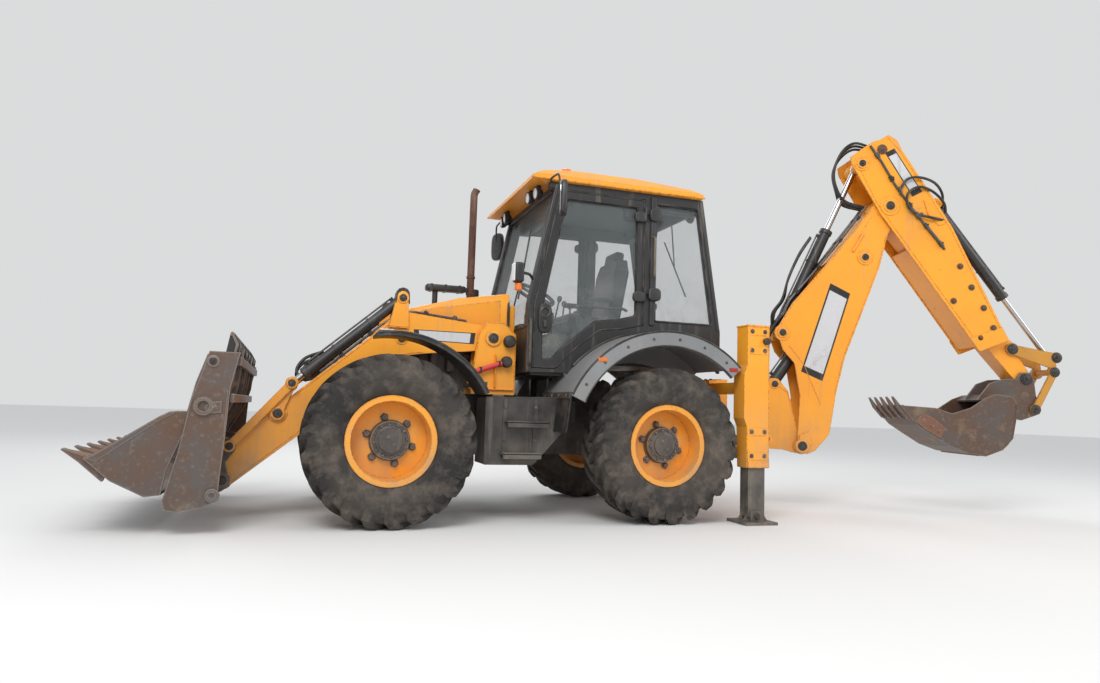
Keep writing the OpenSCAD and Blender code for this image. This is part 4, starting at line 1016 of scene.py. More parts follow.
def hood_shell(name, y_join, y_edge, round_off):
    """A pressed cover from its join to its rounded outer edge."""
    work = bmesh.new()
    inner_row = [work.verts.new((x, y_join, z)) for x, z in hood_line]
    outer_row = [work.verts.new((x, y_edge, z)) for x, z in hood_line]
    rear_low = work.verts.new((1.16, y_edge, 1.43))
    for index in range(len(hood_line) - 1):
        work.faces.new((inner_row[index], inner_row[index + 1], outer_row[index + 1], outer_row[index]))
    work.faces.new(outer_row + [rear_low])
    work.edges.ensure_lookup_table()
    shoulder = []
    for seam in work.edges:
        if all(abs(vert.co.y - y_edge) < 1e-6 for vert in seam.verts) and len(seam.link_faces) == 2:
            shoulder.append(seam)
    bmesh.ops.bevel(
        work, geom=shoulder, offset=round_off, segments=6, profile=0.55, affect="EDGES", clamp_overlap=True)
    bmesh.ops.recalc_face_normals(work, faces=work.faces)
    outward_sum = sum(
        (face.normal.dot(face.calc_center_median() - Vector((1.6, 0, 1.5))) for face in work.faces), 0.0)
    if outward_sum < 0:
        bmesh.ops.reverse_faces(work, faces=work.faces)
    mesh = bpy.data.meshes.new(name)
    work.to_mesh(mesh)
    work.free()
    shell = lone_object(name, mesh)
    thick = shell.modifiers.new("thickness", "SOLIDIFY")
    thick.thickness = 0.012
    thick.offset = -1.0
    mesh = evaluated_mesh(shell, name)
    smooth(mesh, 38)
    return mesh


hood_pieces = [hood_shell("hood_shell", -0.235, 0.35, 0.058)]
hood_pieces.append(tube([(2.054, 0.352, 1.436), (1.164, 0.352, 1.436)], 0.007, 8))
hood_pieces.append(slab(
    [(1.98, 1.5), (1.98, 1.64), (1.9, 1.69), (1.24, 1.81), (1.24, 1.5)], 0.349, 0.3535, 0.0022, 2))
hood_piece = add_piece("hood_cover", hood_pieces, "hood", yellow)
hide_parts("hood")

hood_trim = []
for x in (1.2, 1.96):
    hood_trim.append(coated(brick((x - 0.03, 0.352, 1.455), (x + 0.03, 0.366, 1.49), 0.005, 2), black))
hood_trim += coated_all(bolts_at([(1.2, 0.366, 1.472), (1.96, 0.366, 1.472)], 0.009, 0.006), pin_steel)
hood_trim.append(coated(
    tube(
        curve_through(
            [
                (1.166, -0.22, 1.878), (1.166, 0.2, 1.878), (1.166, 0.32, 1.84), (1.166, 0.352, 1.7),
                (1.166, 0.354, 1.45)],
            5),
        0.012, 8),
    hose_rubber))
add_piece("hood_trim", hood_trim, "hood")

louvres = []
for row in range(7):
    z = 1.48 + row * 0.034
    louvres.append(slab(
        [(1.5 + row * 0.002, z), (1.86, z), (1.86, z + 0.01), (1.5, z + 0.01)], -0.366, -0.349, 0.003))
cowl_shell = hood_shell("cowl_shell", -0.241, -0.35, 0.055)
louvres.append(tube([(2.054, -0.352, 1.436), (1.164, -0.352, 1.436)], 0.007, 8))
for x in (1.19, 1.94):
    louvres.append(brick((x, -0.352, 1.0), (x + 0.045, -0.31, 1.436), 0.005))
louvres.append(brick((1.1, -0.34, 1.3), (1.15, 0.34, 1.78), 0.012, 2))
for x, radius in ((1.37, 0.048), (1.7, 0.038)):
    collar = lathed(
        "collar",
        [
            (0.0, radius - 0.01), (0.0, radius + 0.012), (0.008, radius + 0.012), (0.014, radius + 0.002),
            (0.03, radius), (0.03, radius - 0.01)],
        32)
    smooth(collar)
    z = 1.885 - (x - 1.16) * (1.885 - 1.81) / 0.44 if x < 1.6 else 1.81 - (x - 1.6) * 0.275
    put(collar, (x, -0.285, z - 0.004), 90)
    louvres.append(collar)
cowl_piece = add_piece("side_cover", [cowl_shell] + louvres, "chassis", yellow)
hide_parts("side_cowl")

# Nose. A black grille before the radiator, of flat steel bars that are welded to a back plate
# and to four upright struts.
grille_pieces = [brick((1.99, -0.33, 1.0), (2.022, 0.33, 1.4297), 0.004)]
for index in range(9):
    z = 1.03 + index * 0.045
    grille_pieces.append(slab(
        [(2.016, z), (2.044, z + 0.006), (2.04, z + 0.016), (2.016, z + 0.018)], -0.315, 0.315, 0.002))
for y in (-0.322, -0.108, 0.108, 0.322):
    grille_pieces.append(brick((2.014, y - 0.009, 1.005), (2.038, y + 0.009, 1.425), 0.003))
grille_piece = add_piece("grille", grille_pieces, "chassis", black)
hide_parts("nose_grille")

# Exhaust. A tall thin pipe, rusted brown by heat, with a black flat silencer cover beside it
# that stands on a short leg.
rusty_pipe, tree, shader = new_material("rusty_pipe")
rust = mottle(tree, 12.0, 9.0, 0.35, 0.65, 0.65)
tone = blend_colour(tree, rust, (0.155, 0.07, 0.044, 1), (0.075, 0.036, 0.026, 1))
burnt = times(tree, mottle(tree, 2.0, 5.0, 0.5, 0.62, 0.55, (6, 6, 1.2)), 0.6)
tone = blend_colour(tree, burnt, tone, (0.25, 0.16, 0.12, 1))
cover(tree, shader, Base_Color=tone, Roughness=0.78, Metallic=0.2)
rough_bump(tree, shader, noise(tree, object_point(tree), 90.0, 6.0, 0.7), 0.3, 0.002)

stack_line = [(1.37, -0.285, 1.44), (1.37, -0.285, 2.875), (1.366, -0.285, 2.905), (1.35, -0.285, 2.938)]
stack = tube([Vector(point) for point in stack_line], 0.034, 32)
smooth(stack, 60)
stack_mouth = lathed(
    "mouth", [(0.0, 0.0345), (0.01, 0.0355), (0.012, 0.0345), (0.012, 0.026), (-0.02, 0.024), (-0.02, 0.0)],
    32)
put(stack_mouth, (0, 0, 0), 90)
put(stack_mouth, (1.3505, -0.285, 2.932), -20, "Y")
parts = [coated(stack, rusty_pipe), coated(stack_mouth, rusty_pipe)]
for z in (1.945, 2.1):
    parts.append(coated(
        put(
            turned([(-0.012, 0.037), (-0.01, 0.041), (0.01, 0.041), (0.012, 0.037)], 32), (1.37, -0.285, z),
            90),
        rusty_pipe))
silencer = brick((1.42, -0.337, 1.945), (1.79, -0.233, 2.008), 0.02, 3)
smooth(silencer, 40)
parts.append(coated(silencer, black))
parts.append(coated(brick((1.4, -0.325, 1.958), (1.425, -0.245, 1.996), 0.006, 2), black))
parts.append(coated(tube([(1.7, -0.285, 1.56), (1.7, -0.285, 1.95)], 0.025, 20), black))
parts.append(coated(brick((1.33, -0.305, 1.44), (1.41, -0.235, 1.505), 0.008, 2), black))
for x in (1.48, 1.61, 1.74):
    parts.append(coated(brick((x - 0.012, -0.34, 1.942), (x + 0.012, -0.23, 2.01), 0.004, 1), black))
stack_piece = add_piece("exhaust", parts, "chassis")
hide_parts("exhaust_stack")

# Engine. A cast iron block under the hood, seen from below and behind the wheels, with a
# bolted sump, ports and ribs along its sides, an oil filter, and a belt pulley in front.
engine_iron = paint(
    "engine_iron", (0.055, 0.055, 0.056, 1), (0.085, 0.08, 0.075, 1), (0.15, 0.12, 0.095, 1), dry_dust, 0.7,
    1.6, 0.5)
finish_node(engine_iron, "engine_block")
parts = [brick((1.3, -0.15, 0.8), (1.86, 0.15, 0.955), 0.03, 2)]
for side in either_side:
    parts.append(brick((1.3, side * 0.262 - 0.024, 1.33), (1.9, side * 0.262 + 0.024, 1.42), 0.016, 2))
    for x in (1.36, 1.5, 1.64, 1.78):
        parts.append(brick(
            (x - 0.035, side * 0.268 - 0.03, 1.18), (x + 0.035, side * 0.268 + 0.03, 1.345), 0.014, 2))
    for x in (1.3, 1.42, 1.54, 1.66, 1.78, 1.9):
        parts.append(brick(
            (x - 0.006, side * 0.244 - 0.008, 0.96), (x + 0.006, side * 0.244 + 0.008, 1.32), 0.003))
    parts += bolts_at(
        [(1.28 + 0.09 * index, side * 0.15, 0.935) for index in range(7)], 0.008, 0.01, (0, side, 0))
parts.append(put(
    turned([(-0.075, 0.044), (-0.065, 0.052), (0.065, 0.052), (0.075, 0.044)], 28), (1.45, 0.3, 1.07), 90))
parts.append(put(
    turned(
        [
            (-0.03, 0.1), (-0.025, 0.085), (-0.01, 0.085), (-0.005, 0.1), (0.005, 0.1), (0.01, 0.085),
            (0.025, 0.085), (0.03, 0.1)],
        36),
    (1.955, 0.0, 1.08), -90, "Z"))
add_piece("engine_fittings", parts, "chassis", engine_iron)

# Arm towers. Thick plates either side of each arm's pivot, with welded seams, and two black
# rubber buffers on their outer faces. The red safety strut is stowed beside them.
strut_red = paint(
    "strut_red", (0.62, 0.028, 0.03, 1), (0.5, 0.05, 0.045, 1), (0.2, 0.12, 0.09, 1), dry_dust, 0.6, 1.0,
    0.4)
tower_face = 0.575
parts = []
buffers = []
for x, z, radius in ((1.215, 1.44, 0.052), (1.235, 1.27, 0.047)):
    buffers.append(put(
        turned(
            [
                (-0.003, radius * 0.8), (0.02, radius), (0.052, radius * 0.98), (0.066, radius * 0.82),
                (0.072, radius * 0.5)],
            32),
        (x, tower_face, z)))
add_piece("tower_buffers", on_both(buffers), "chassis", hose_rubber)
tower_line = [
    (1.158, 1.044), (1.158, 1.495), (1.262, 1.592), (1.398, 1.592), (1.462, 1.498), (1.512, 1.12),
    (1.512, 1.044)]
parts += seam_along(tower_line, tower_face + 0.001, 0.003)
parts.append(brick((1.16, 0.324, 1.036), (1.51, tower_face + 0.02, 1.044), 0.003))
parts.append(slab(
    [(1.32, 1.03), (1.33, 1.06), (1.33, 1.33), (1.32, 1.33)], tower_face - 0.004, tower_face + 0.03, 0.004))
add_piece("tower_seams", on_both(parts), "chassis", yellow)

parts = []
strut_start = Vector((1.5, 0.612, 1.178))
strut_end = Vector((1.262, 0.612, 1.262))
parts.append(coated(tube([strut_start, strut_end], 0.021, 20), strut_red))
parts.append(coated(
    tube([strut_start + (strut_start - strut_end) * 0.02, strut_start.lerp(strut_end, 0.04)], 0.026, 20),
    black))
for share in (0.2, 0.85):
    middle = strut_start.lerp(strut_end, share)
    parts.append(coated(
        brick(middle - Vector((0.008, 0.04, 0.026)), middle + Vector((0.008, 0.024, 0.026)), 0.004), black))
add_piece("safety_strut", on_both(parts), "chassis")

# Cab outside. Square tube posts with dark rubber seals round every pane, big covers over the
# door's two hinges, a rail to climb in by, and mirrors and lamps on short brackets.
cab_side = 0.73
parts = []


def rounded_plate(middle, half_x, half_z, y0, y1, edge=0.006, cuts=2, points_round=20, power=3.0):
    """A plate with a rounded outline, between two sideways planes."""
    outline = []
    for step in range(points_round):
        angle = math.tau * step / points_round
        c = math.cos(angle)
        s = math.sin(angle)
        outline.append((
            middle[0] + half_x * math.copysign(abs(c) ** (2 / power), c),
            middle[1] + half_z * math.copysign(abs(s) ** (2 / power), s)))
    mesh = slab(outline, y0, y1, edge, cuts)
    smooth(mesh, 35)
    return mesh


def seal_round(outline, y, width=0.011):
    """A rubber seal that follows an outline of [x, z] points on a sideways plane."""
    line = [(x, y, z) for x, z in outline] + [(outline[0][0], y, outline[0][1])]
    return tube(bent_line(line, 0.03, 3), width, 6)


door_line = [
    (1.046, 1.235), (1.046, 1.75), (0.848, 2.736), (0.07, 2.736), (0.07, 1.64), (0.28, 1.594),
    (0.46, 1.576), (0.57, 1.494), (0.65, 1.432), (0.745, 1.344), (0.85, 1.235)]
window_line = [
    (0.98, 1.3), (0.98, 1.745), (0.795, 2.67), (0.13, 2.67), (0.13, 1.71), (0.3, 1.665), (0.5, 1.64),
    (0.69, 1.48), (0.8, 1.39), (0.88, 1.3)]
rear_pane_line = [(-0.04, 2.72), (-0.45, 2.72), (-0.61, 1.68), (-0.04, 1.68)]
hinge_heights = (2.61, 1.91)
for z in hinge_heights:
    parts.append(rounded_plate((-0.028, z), 0.06, 0.058, 0.724, 0.768, 0.012, 3))
parts.append(brick((-0.036, 0.724, 1.64), (0.01, 0.746, 2.77), 0.008, 2))
parts.append(slab(
    [(1.112, 1.56), (1.112, 1.752), (0.896, 2.79), (0.868, 2.79), (1.08, 1.752), (1.08, 1.56)], 0.69, 0.742,
    0.01, 2))
parts.append(brick((1.062, 0.7, 1.195), (1.106, 0.738, 1.58), 0.008, 2))
parts.append(slab([(-0.49, 2.79), (-0.682, 1.63), (-0.65, 1.63), (-0.462, 2.79)], 0.69, 0.738, 0.01, 2))
add_piece("cab_posts", on_both(parts), "chassis", black)

parts = on_both([seal_round(rear_pane_line, cab_side - 0.002, 0.01)])
windscreen_line = [(1.094, y, 1.565) for y in (-0.665, 0.665)] + [
    (1.094, 0.665, 1.75), (0.892, 0.665, 2.745), (0.892, -0.665, 2.745), (1.094, -0.665, 1.75)]
parts.append(tube(bent_line(windscreen_line + [(1.094, -0.665, 1.565)], 0.03, 3), 0.012, 6))
rear_screen = [
    (-0.668, -0.665, 1.625), (-0.668, 0.665, 1.625), (-0.508, 0.665, 2.745), (-0.508, -0.665, 2.745),
    (-0.668, -0.665, 1.625)]
parts.append(tube(bent_line(rear_screen, 0.03, 3), 0.012, 6))
fender_radius = 0.936
fender_edge = []
for degrees in range(42, 130, 4):
    turn = math.radians(degrees)
    fender_edge.append((
        fender_radius * math.cos(turn), 0.733, tyre_radius + fender_radius * math.sin(turn)))
parts += on_both([tube(fender_edge, 0.016, 8)])
add_piece("cab_seals", parts, "chassis", hose_rubber)

parts = [tube(
    bent_line([(1.082, 0.735, 1.25), (1.086, 0.772, 1.27), (1.086, 0.772, 1.6), (1.08, 0.735, 1.62)], 0.02),
    0.012, 12)]
parts.append(tube(
    bent_line(
        [(-0.01, 0.74, 2.06), (-0.01, 0.785, 2.075), (-0.01, 0.785, 2.4), (-0.01, 0.74, 2.415)], 0.02),
    0.011, 12))
worn_rail = paint(
    "worn_rail", (0.02, 0.02, 0.02, 1), (0.2, 0.14, 0.08, 1), (0.33, 0.27, 0.19, 1), dry_dust, 2.2, 1.7, 0.4
)
add_piece("climbing_rails", on_both(parts), "chassis", worn_rail)

for side, sign in (("left", 1), ("right", -1)):
    door_parts = [
        seal_round(door_line, cab_side - 0.003, 0.009), seal_round(window_line, cab_side - 0.018, 0.014)]
    for z in hinge_heights:
        door_parts.append(rounded_plate((0.118, z - 0.03), 0.056, 0.046, 0.726, 0.766, 0.012, 3))
    door_shell = [
        rounded_plate((0.955, 1.64), 0.062, 0.125, 0.698, 0.748, 0.014, 3),
        brick((0.86, 0.66, 1.6), (0.9, 0.69, 1.7), 0.01, 2)]
    ring = lathed(
        "pull_ring", [(-0.002, 0.03), (0.006, 0.03), (0.01, 0.036), (0.006, 0.046), (-0.002, 0.046)], 28)
    smooth(ring)
    put(ring, (0.958, 0.748, 1.69))
    pull = brick((0.94, 0.746, 1.56), (0.976, 0.77, 1.62), 0.01, 3)
    parts = coated_all(door_parts[:2], hose_rubber)
    parts += coated_all(door_parts[2:] + door_shell + [pull], black)
    parts.append(coated(ring, pin_steel))
    parts.append(coated(
        tube(
            bent_line(
                [(0.2, 0.676, 1.76), (0.21, 0.64, 1.78), (0.64, 0.64, 1.78), (0.65, 0.676, 1.76)], 0.03),
            0.013, 10),
        black))
    parts.append(coated(weld((0.082, 0.7305, 1.66), (0.082, 0.7305, 2.7), 0.003), black))
    if sign < 0:
        parts = [mirrored(mesh) for mesh in parts]
    add_piece(f"door_fittings_{side}", parts, f"door_{side}")

mirror_glass, tree, shader = new_material("mirror_glass")
haze = band(tree, noise(tree, object_point(tree), 9.0, 6.0), 0.4, 0.8, 0.04, 0.25)
cover(tree, shader, Base_Color=(0.72, 0.73, 0.74, 1), Roughness=haze, Metallic=1.0)
parts = []
for sign in either_side:
    shell = rounded_plate((0.0, 0.0), 0.095, 0.145, -0.024, 0.03, 0.02, 4, 28, 3.2)
    face = rounded_plate((0.0, 0.0), 0.08, 0.13, -0.028, -0.022, 0.002, 1, 28, 3.2)
    for mesh, finish_of in ((shell, black), (face, mirror_glass)):
        put(mesh, (0.93, sign * 1.035, 2.58), sign * 72, "Z")
        parts.append(coated(mesh, finish_of))
    arm_line = [
        (0.925, sign * 0.7, 2.79), (0.965, sign * 0.8, 2.8), (0.962, sign * 1.005, 2.79),
        (0.95, sign * 1.03, 2.58), (0.946, sign * 1.035, 2.47)]
    parts.append(coated(tube(bent_line(arm_line, 0.05), 0.009, 10), black))
    parts.append(coated(brick((0.89, sign * 0.69, 2.745), (0.95, sign * 0.735, 2.798), 0.008, 2), black))
    for z in (2.53, 2.64):
        parts.append(coated(
            brick((0.93, sign * 1.032 - 0.02, z - 0.012), (0.962, sign * 1.032 + 0.02, z + 0.012), 0.004),
            black))
mirror_piece = add_piece("mirror_set", parts, "chassis")
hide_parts("mirrors")

# Lamps. Round work lamps under the roof's front and rear edges, road lamps with amber
# indicators on the front posts, rear lamp clusters, and an amber beacon on the roof.


def ribbed_lens(name, dark, bright, gloss, scatter):
    """A moulded lens of coloured plastic with ribs across it."""
    material, tree, shader = new_material(name)
    ribs = ridges(tree, 60.0, 0.0, "Z")
    tone = blend_colour(tree, ribs, dark, bright)
    cover(tree, shader, Base_Color=tone, Roughness=gloss, Subsurface_Weight=scatter)
    rough_bump(tree, shader, ribs, 0.5, 0.002)
    return material


amber = ribbed_lens("amber_lens", (0.66, 0.13, 0.012, 1), (0.86, 0.22, 0.03, 1), 0.18, 0.15)
red_lens = ribbed_lens("red_lens", (0.3, 0.008, 0.008, 1), (0.48, 0.02, 0.018, 1), 0.2, 0.0)


def work_lamp(place, facing, radius=0.055, depth=0.07):
    """A round lamp with its housing, rim and lens, looking along a direction."""
    housing = turned(
        [
            (0.0, radius * 0.45), (depth * 0.25, radius * 0.8), (depth * 0.6, radius),
            (depth - 0.004, radius), (depth, radius - 0.004), (depth, radius - 0.01),
            (depth - 0.008, radius - 0.012)],
        32)
    lens_disc = turned(
        [(depth - 0.012, radius - 0.009), (depth - 0.003, radius - 0.01), (depth + 0.003, radius * 0.55)],
        32)
    turn_to = toward(facing)
    for mesh in (housing, lens_disc):
        mesh.transform(Matrix.Translation(place) @ turn_to)
    return [coated(housing, black), coated(lens_disc, lens)]


parts = []
for sign in either_side:
    for y, x in ((0.56, 0.96), (0.38, 0.975)):
        parts += work_lamp((x, sign * y, 2.735), (1, sign * 0.08, -0.1), 0.055, 0.068)
        parts.append(coated(
            brick((x + 0.015, sign * y - 0.018, 2.765), (x + 0.05, sign * y + 0.018, 2.802), 0.005), black))
    for y in (0.56, 0.39):
        parts += work_lamp((-0.518, sign * y, 2.735), (-1, 0, -0.1), 0.053, 0.066)
        parts.append(coated(
            brick((-0.545, sign * y - 0.018, 2.757), (-0.507, sign * y + 0.018, 2.79), 0.005), black))
beacon_base = turned([(0.0, 0.066), (0.012, 0.066), (0.016, 0.06), (0.022, 0.058)], 36)
beacon_dome = turned([(0.016, 0.054), (0.06, 0.05), (0.072, 0.044), (0.079, 0.028), (0.08, 0.01)], 36)
for mesh, finish_of in ((beacon_base, hose_rubber), (beacon_dome, amber)):
    put(mesh, (0.7, 0.42, 2.944), 90)
    parts.append(coated(mesh, finish_of))
lamp_piece = add_piece("work_lamps", parts, "chassis")
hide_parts("lamps")

parts = []
for sign in either_side:
    y0 = sign * 0.8
    housing = brick((1.175, -0.05, 1.905), (1.255, 0.05, 2.07), 0.022, 4)
    smooth(housing, 40)
    glass_face = brick((1.25, -0.042, 1.915), (1.262, 0.042, 2.06), 0.006, 2)
    indicator = put(
        turned([(-0.03, 0.024), (-0.026, 0.03), (0.026, 0.03), (0.03, 0.024)], 24), (1.212, 0.0, 1.872), 90)
    stem = tube(
        bent_line([(1.18, 0.0, 1.99), (1.12, 0.0, 1.985), (1.066, -sign * 0.085, 1.96)], 0.03), 0.012, 10)
    for mesh, finish_of in ((housing, black), (glass_face, lens), (indicator, amber), (stem, black)):
        put(mesh, (0, y0, 0))
        parts.append(coated(mesh, finish_of))
    parts.append(coated(
        brick((-0.965, sign * 1.0 - 0.052, 1.52), (-0.912, sign * 1.0 + 0.052, 1.64), 0.012, 2), black))
    for z, finish_of in ((1.548, red_lens), (1.58, amber), (1.612, red_lens)):
        parts.append(coated(
            brick((-0.974, sign * 1.0 - 0.044, z - 0.015), (-0.962, sign * 1.0 + 0.044, z + 0.013), 0.004),
            finish_of))
add_piece("road_lamps", parts, "chassis")

# Roof. A moulded shell with a low crown and yellow gutters, bolted on the posts. A dark lining
# of moulded plastic hangs inside it.
parts = [tube([(-0.5, 0.764, 2.815), (0.3, 0.764, 2.812), (1.118, 0.764, 2.812)], 0.01, 8)]
lining = []
for y in (-0.64, 0.64):
    lining.append(brick((-0.44, y - 0.036, 2.66), (0.82, y + 0.036, 2.798), 0.026, 3))
lining.append(brick((0.7, -0.64, 2.62), (0.835, 0.64, 2.798), 0.03, 3))
lining.append(brick((-0.446, -0.64, 2.66), (-0.35, 0.64, 2.798), 0.03, 3))
lining.append(brick((-0.44, -0.66, 2.77), (0.83, 0.66, 2.799), 0.012, 2))
lining.append(brick((-0.12, 0.56, 2.56), (0.22, 0.668, 2.7), 0.04, 4))
for mesh in lining:
    smooth(mesh, 40)
add_piece("roof_lining", lining, "chassis", trim)
add_piece("roof_gutters", on_both(parts), "chassis", yellow)

# Wipers. Black pressed steel arms on their motors' spindles, with rubber blades that lie on
# the front and rear screens.
parts = []
for base, tip, blade_low, blade_high in (
    ((1.112, 0.18, 1.6), (1.02, 0.3, 2.16), (1.082, 0.35, 1.84), (0.945, 0.22, 2.51)),
    ((-0.515, 0.1, 2.76), (-0.575, 0.06, 2.33), (-0.628, 0.2, 2.01), (-0.545, -0.1, 2.59)),
):
    parts.append(tube([base, tip], 0.007, 8))
    parts.append(tube([blade_low, blade_high], 0.008, 6))
    parts.append(tube([tip, Vector(blade_low).lerp(Vector(blade_high), 0.5)], 0.006, 6))
    parts.append(put(turned([(-0.012, 0.022), (0.014, 0.022), (0.02, 0.014)], 20), base, -90, "Z"))
add_piece("wipers", parts, "chassis", black)

# Boom. Deep tapering box of welded plate, with a seam along each side, pads at its pins, a
# blank sign plate, a stiffening bar, and steel pipes clipped along its front edge.
boom_face = 0.166
parts = []
boom_seams = [
    [(-0.33, 1.6), (-0.47, 1.42), (-0.64, 1.02)], [(-1.01, 2.7), (-1.15, 2.93)],
    [(-1.29, 2.74), (-1.205, 2.41), (-1.022, 1.92), (-0.864, 1.506), (-0.776, 1.139)],
    [(-0.214, 1.752), (-0.368, 2.014), (-0.733, 2.452), (-1.138, 2.98)]]
for side in either_side:
    for line in boom_seams:
        parts += seam_along(line, side * boom_face, 0.0035)
    parts.append(tube(
        [(-0.955, side * (boom_face + 0.01), 2.56), (-1.06, side * (boom_face + 0.01), 2.745)], 0.011, 10))
    for x, z, radius in ((-1.315, 3.028, 0.138), (-0.263, 1.726, 0.08), (-1.078, 2.506, 0.08)):
        pad_line = [
            (-0.002, radius), (0.004, radius), (0.007, radius - 0.004), (0.007, radius - 0.03),
            (-0.002, radius - 0.03)]
        pad_ring = lathed("pad", pad_line, 36)
        smooth(pad_ring)
        on_side(pad_ring, side, x, boom_face - 0.001, z)
        parts.append(pad_ring)
    y = side * (boom_face + 0.005)
    parts.append(slab(
        [(-0.56, 0.64), (-0.48, 0.56), (-0.42, 0.6), (-0.43, 0.72), (-0.52, 0.76)], y - 0.006, y + 0.006,
        0.004))
add_piece("boom_seams", parts, "boom", yellow, hoe_frame)

sign_line = [(-0.445, 1.345), (-0.655, 1.255), (-0.93, 2.135), (-0.735, 2.235)]
sign_dark = paint(
    "sign_dark", (0.016, 0.016, 0.017, 1), (0.03, 0.03, 0.03, 1), (0.25, 0.13, 0.05, 1), dry_dust, 0.7, 1.0,
    0.3)
sign_light = paint(
    "sign_light", (0.6, 0.6, 0.61, 1), (0.48, 0.48, 0.49, 1), (0.2, 0.15, 0.11, 1), dry_dust, 0.7, 1.0, 0.33
)


def shrunk(outline, share):
    middle = (sum(p[0] for p in outline) / len(outline), sum(p[1] for p in outline) / len(outline))
    return [(middle[0] + (x - middle[0]) * share, middle[1] + (z - middle[1]) * share) for x, z in outline]


def blank_signs(outline, face, light_share):
    """Dark plates on both sides, each with a plain light panel and nothing written."""
    result = []
    for side in either_side:
        for index, (share, finish_of) in enumerate(((1.0, sign_dark), (light_share, sign_light))):
            low = face + 0.0012 * index
            mesh = slab(shrunk(outline, share), side * low, side * (low + 0.0012), 0.0004)
            result.append(coated(mesh, finish_of))
    return result


add_piece(
    "boom_signs", blank_signs(sign_line, boom_face - 0.001, 0.86), "boom", None, hoe_frame)
arm_sign_line = [(2.0, 1.5), (1.985, 1.415), (1.5, 1.405), (1.49, 1.5)]
add_piece("arm_signs", blank_signs(arm_sign_line, 0.544, 0.84), "loader_arms")
dipper_sign_line = [
    dipper_point(s, n) for s, n in ((-0.455, 0.3), (0.06, 0.235), (0.08, 0.345), (-0.435, 0.405))]

edge_pipes = []
edge_clips = []
for lane in (-0.091, -0.066, 0.066, 0.091):
    edge_pipes.append(tube(
        bent_line(
            [
                (-0.3, lane, 1.93), (-0.345, lane, 2.052), (-0.705, lane, 2.492), (-1.08, lane, 2.985),
                (-1.12, lane, 3.045)],
            0.06),
        0.0105, 8))
for x, z, lean in ((-0.43, 2.15, 50), (-0.64, 2.405, 50), (-0.86, 2.69, 53), (-1.04, 2.925, 53)):
    for lane in (-0.079, 0.079):
        edge_clips.append(put(
            brick((-0.02, lane - 0.027, -0.016), (0.02, lane + 0.027, 0.016), 0.004), (x, 0, z), lean, "Y"))
add_piece("boom_pipes", edge_pipes, "boom", pipe_steel, hoe_frame)
add_piece("boom_pipe_clips", edge_clips, "boom", black, hoe_frame)

# Dipper. Outer box with an inner one that slides out of it on bolted wear pads. Its seams,
# pads, bolts and grease points show on the sides, and a steel pipe runs down its left.
dipper_face = 0.201
parts = []
dipper_seam_line = [(-0.56, 0.02), (-0.1, -0.085), (0.45, -0.118), (1.59, -0.18)]
dipper_rear_line = [(-0.56, 0.425), (-0.375, 0.434), (0.165, 0.376), (0.54, 0.33), (1.69, 0.064)]
for side in either_side:
    for line in (dipper_seam_line, dipper_rear_line):
        parts += seam_along([dipper_point(*spot) for spot in line], side * dipper_face, 0.0035)
    for s, n, radius in ((0.0, 0.0, 0.1), (-0.506, 0.051, 0.078), (-0.5, 0.3, 0.048)):
        at = dipper_point(s, n)
        parts.append(on_side(
            turned([(-0.002, radius), (0.004, radius), (0.007, radius - 0.005)], 36), side, at[0],
            dipper_face - 0.001, at[1]))
    top_plate = [
        dipper_point(s, n) for s, n in ((1.5, -0.215), (1.66, -0.224), (1.745, 0.078), (1.6, 0.108))]
    y = side * (dipper_face + 0.003)
    parts.append(slab(top_plate, y - 0.005, y + 0.005, 0.003))
    fin = [
        dipper_point(s, n)
        for s, n in ((0.15, 0.3), (0.26, 0.345), (0.47, 0.33), (0.45, 0.255), (0.3, 0.24))]
    y = side * (dipper_face + 0.002)
    parts.append(slab(fin, y - 0.004, y + 0.004, 0.003))
add_piece("dipper_seams", parts, "dipper", yellow, hoe_frame)

parts = []
for side in either_side:
    for s, n in ((0.89, 0.165), (1.12, 0.12), (1.35, 0.085), (1.56, 0.035), (1.56, -0.13), (1.12, -0.105)):
        at = dipper_point(s, n)
        washer = turned([(-0.002, 0.03), (0.006, 0.03), (0.008, 0.026)], 24)
        head = hex_bolt(0.014, 0.012, (0, 0.007, 0), False)
        for mesh in (washer, head):
            on_side(mesh, side, at[0], dipper_face, at[1])
            parts.append(mesh)
    nipple_at = dipper_point(-0.5, 0.3)
    nipple = pin_end(0.032, 0.01, yellow)
    for mesh in nipple:
        on_side(mesh, side, nipple_at[0], dipper_face + 0.005, nipple_at[1])
    parts += nipple
rusty_iron = paint(
    "rusty_iron", (0.075, 0.036, 0.02, 1), (0.12, 0.055, 0.028, 1), (0.22, 0.16, 0.12, 1), dry_dust, 1.2,
    1.0, 0.6)
add_piece("wear_pad_bolts", parts, "dipper", rusty_iron, hoe_frame)
add_piece(
    "dipper_signs", blank_signs(dipper_sign_line, dipper_face - 0.001, 0.8), "dipper", None,
    hoe_frame)


def on_dipper(s, n, y):
    x, z = dipper_point(s, n)
    return (x, y, z)


def dipper_path(*places):
    return [on_dipper(*place) for place in places]


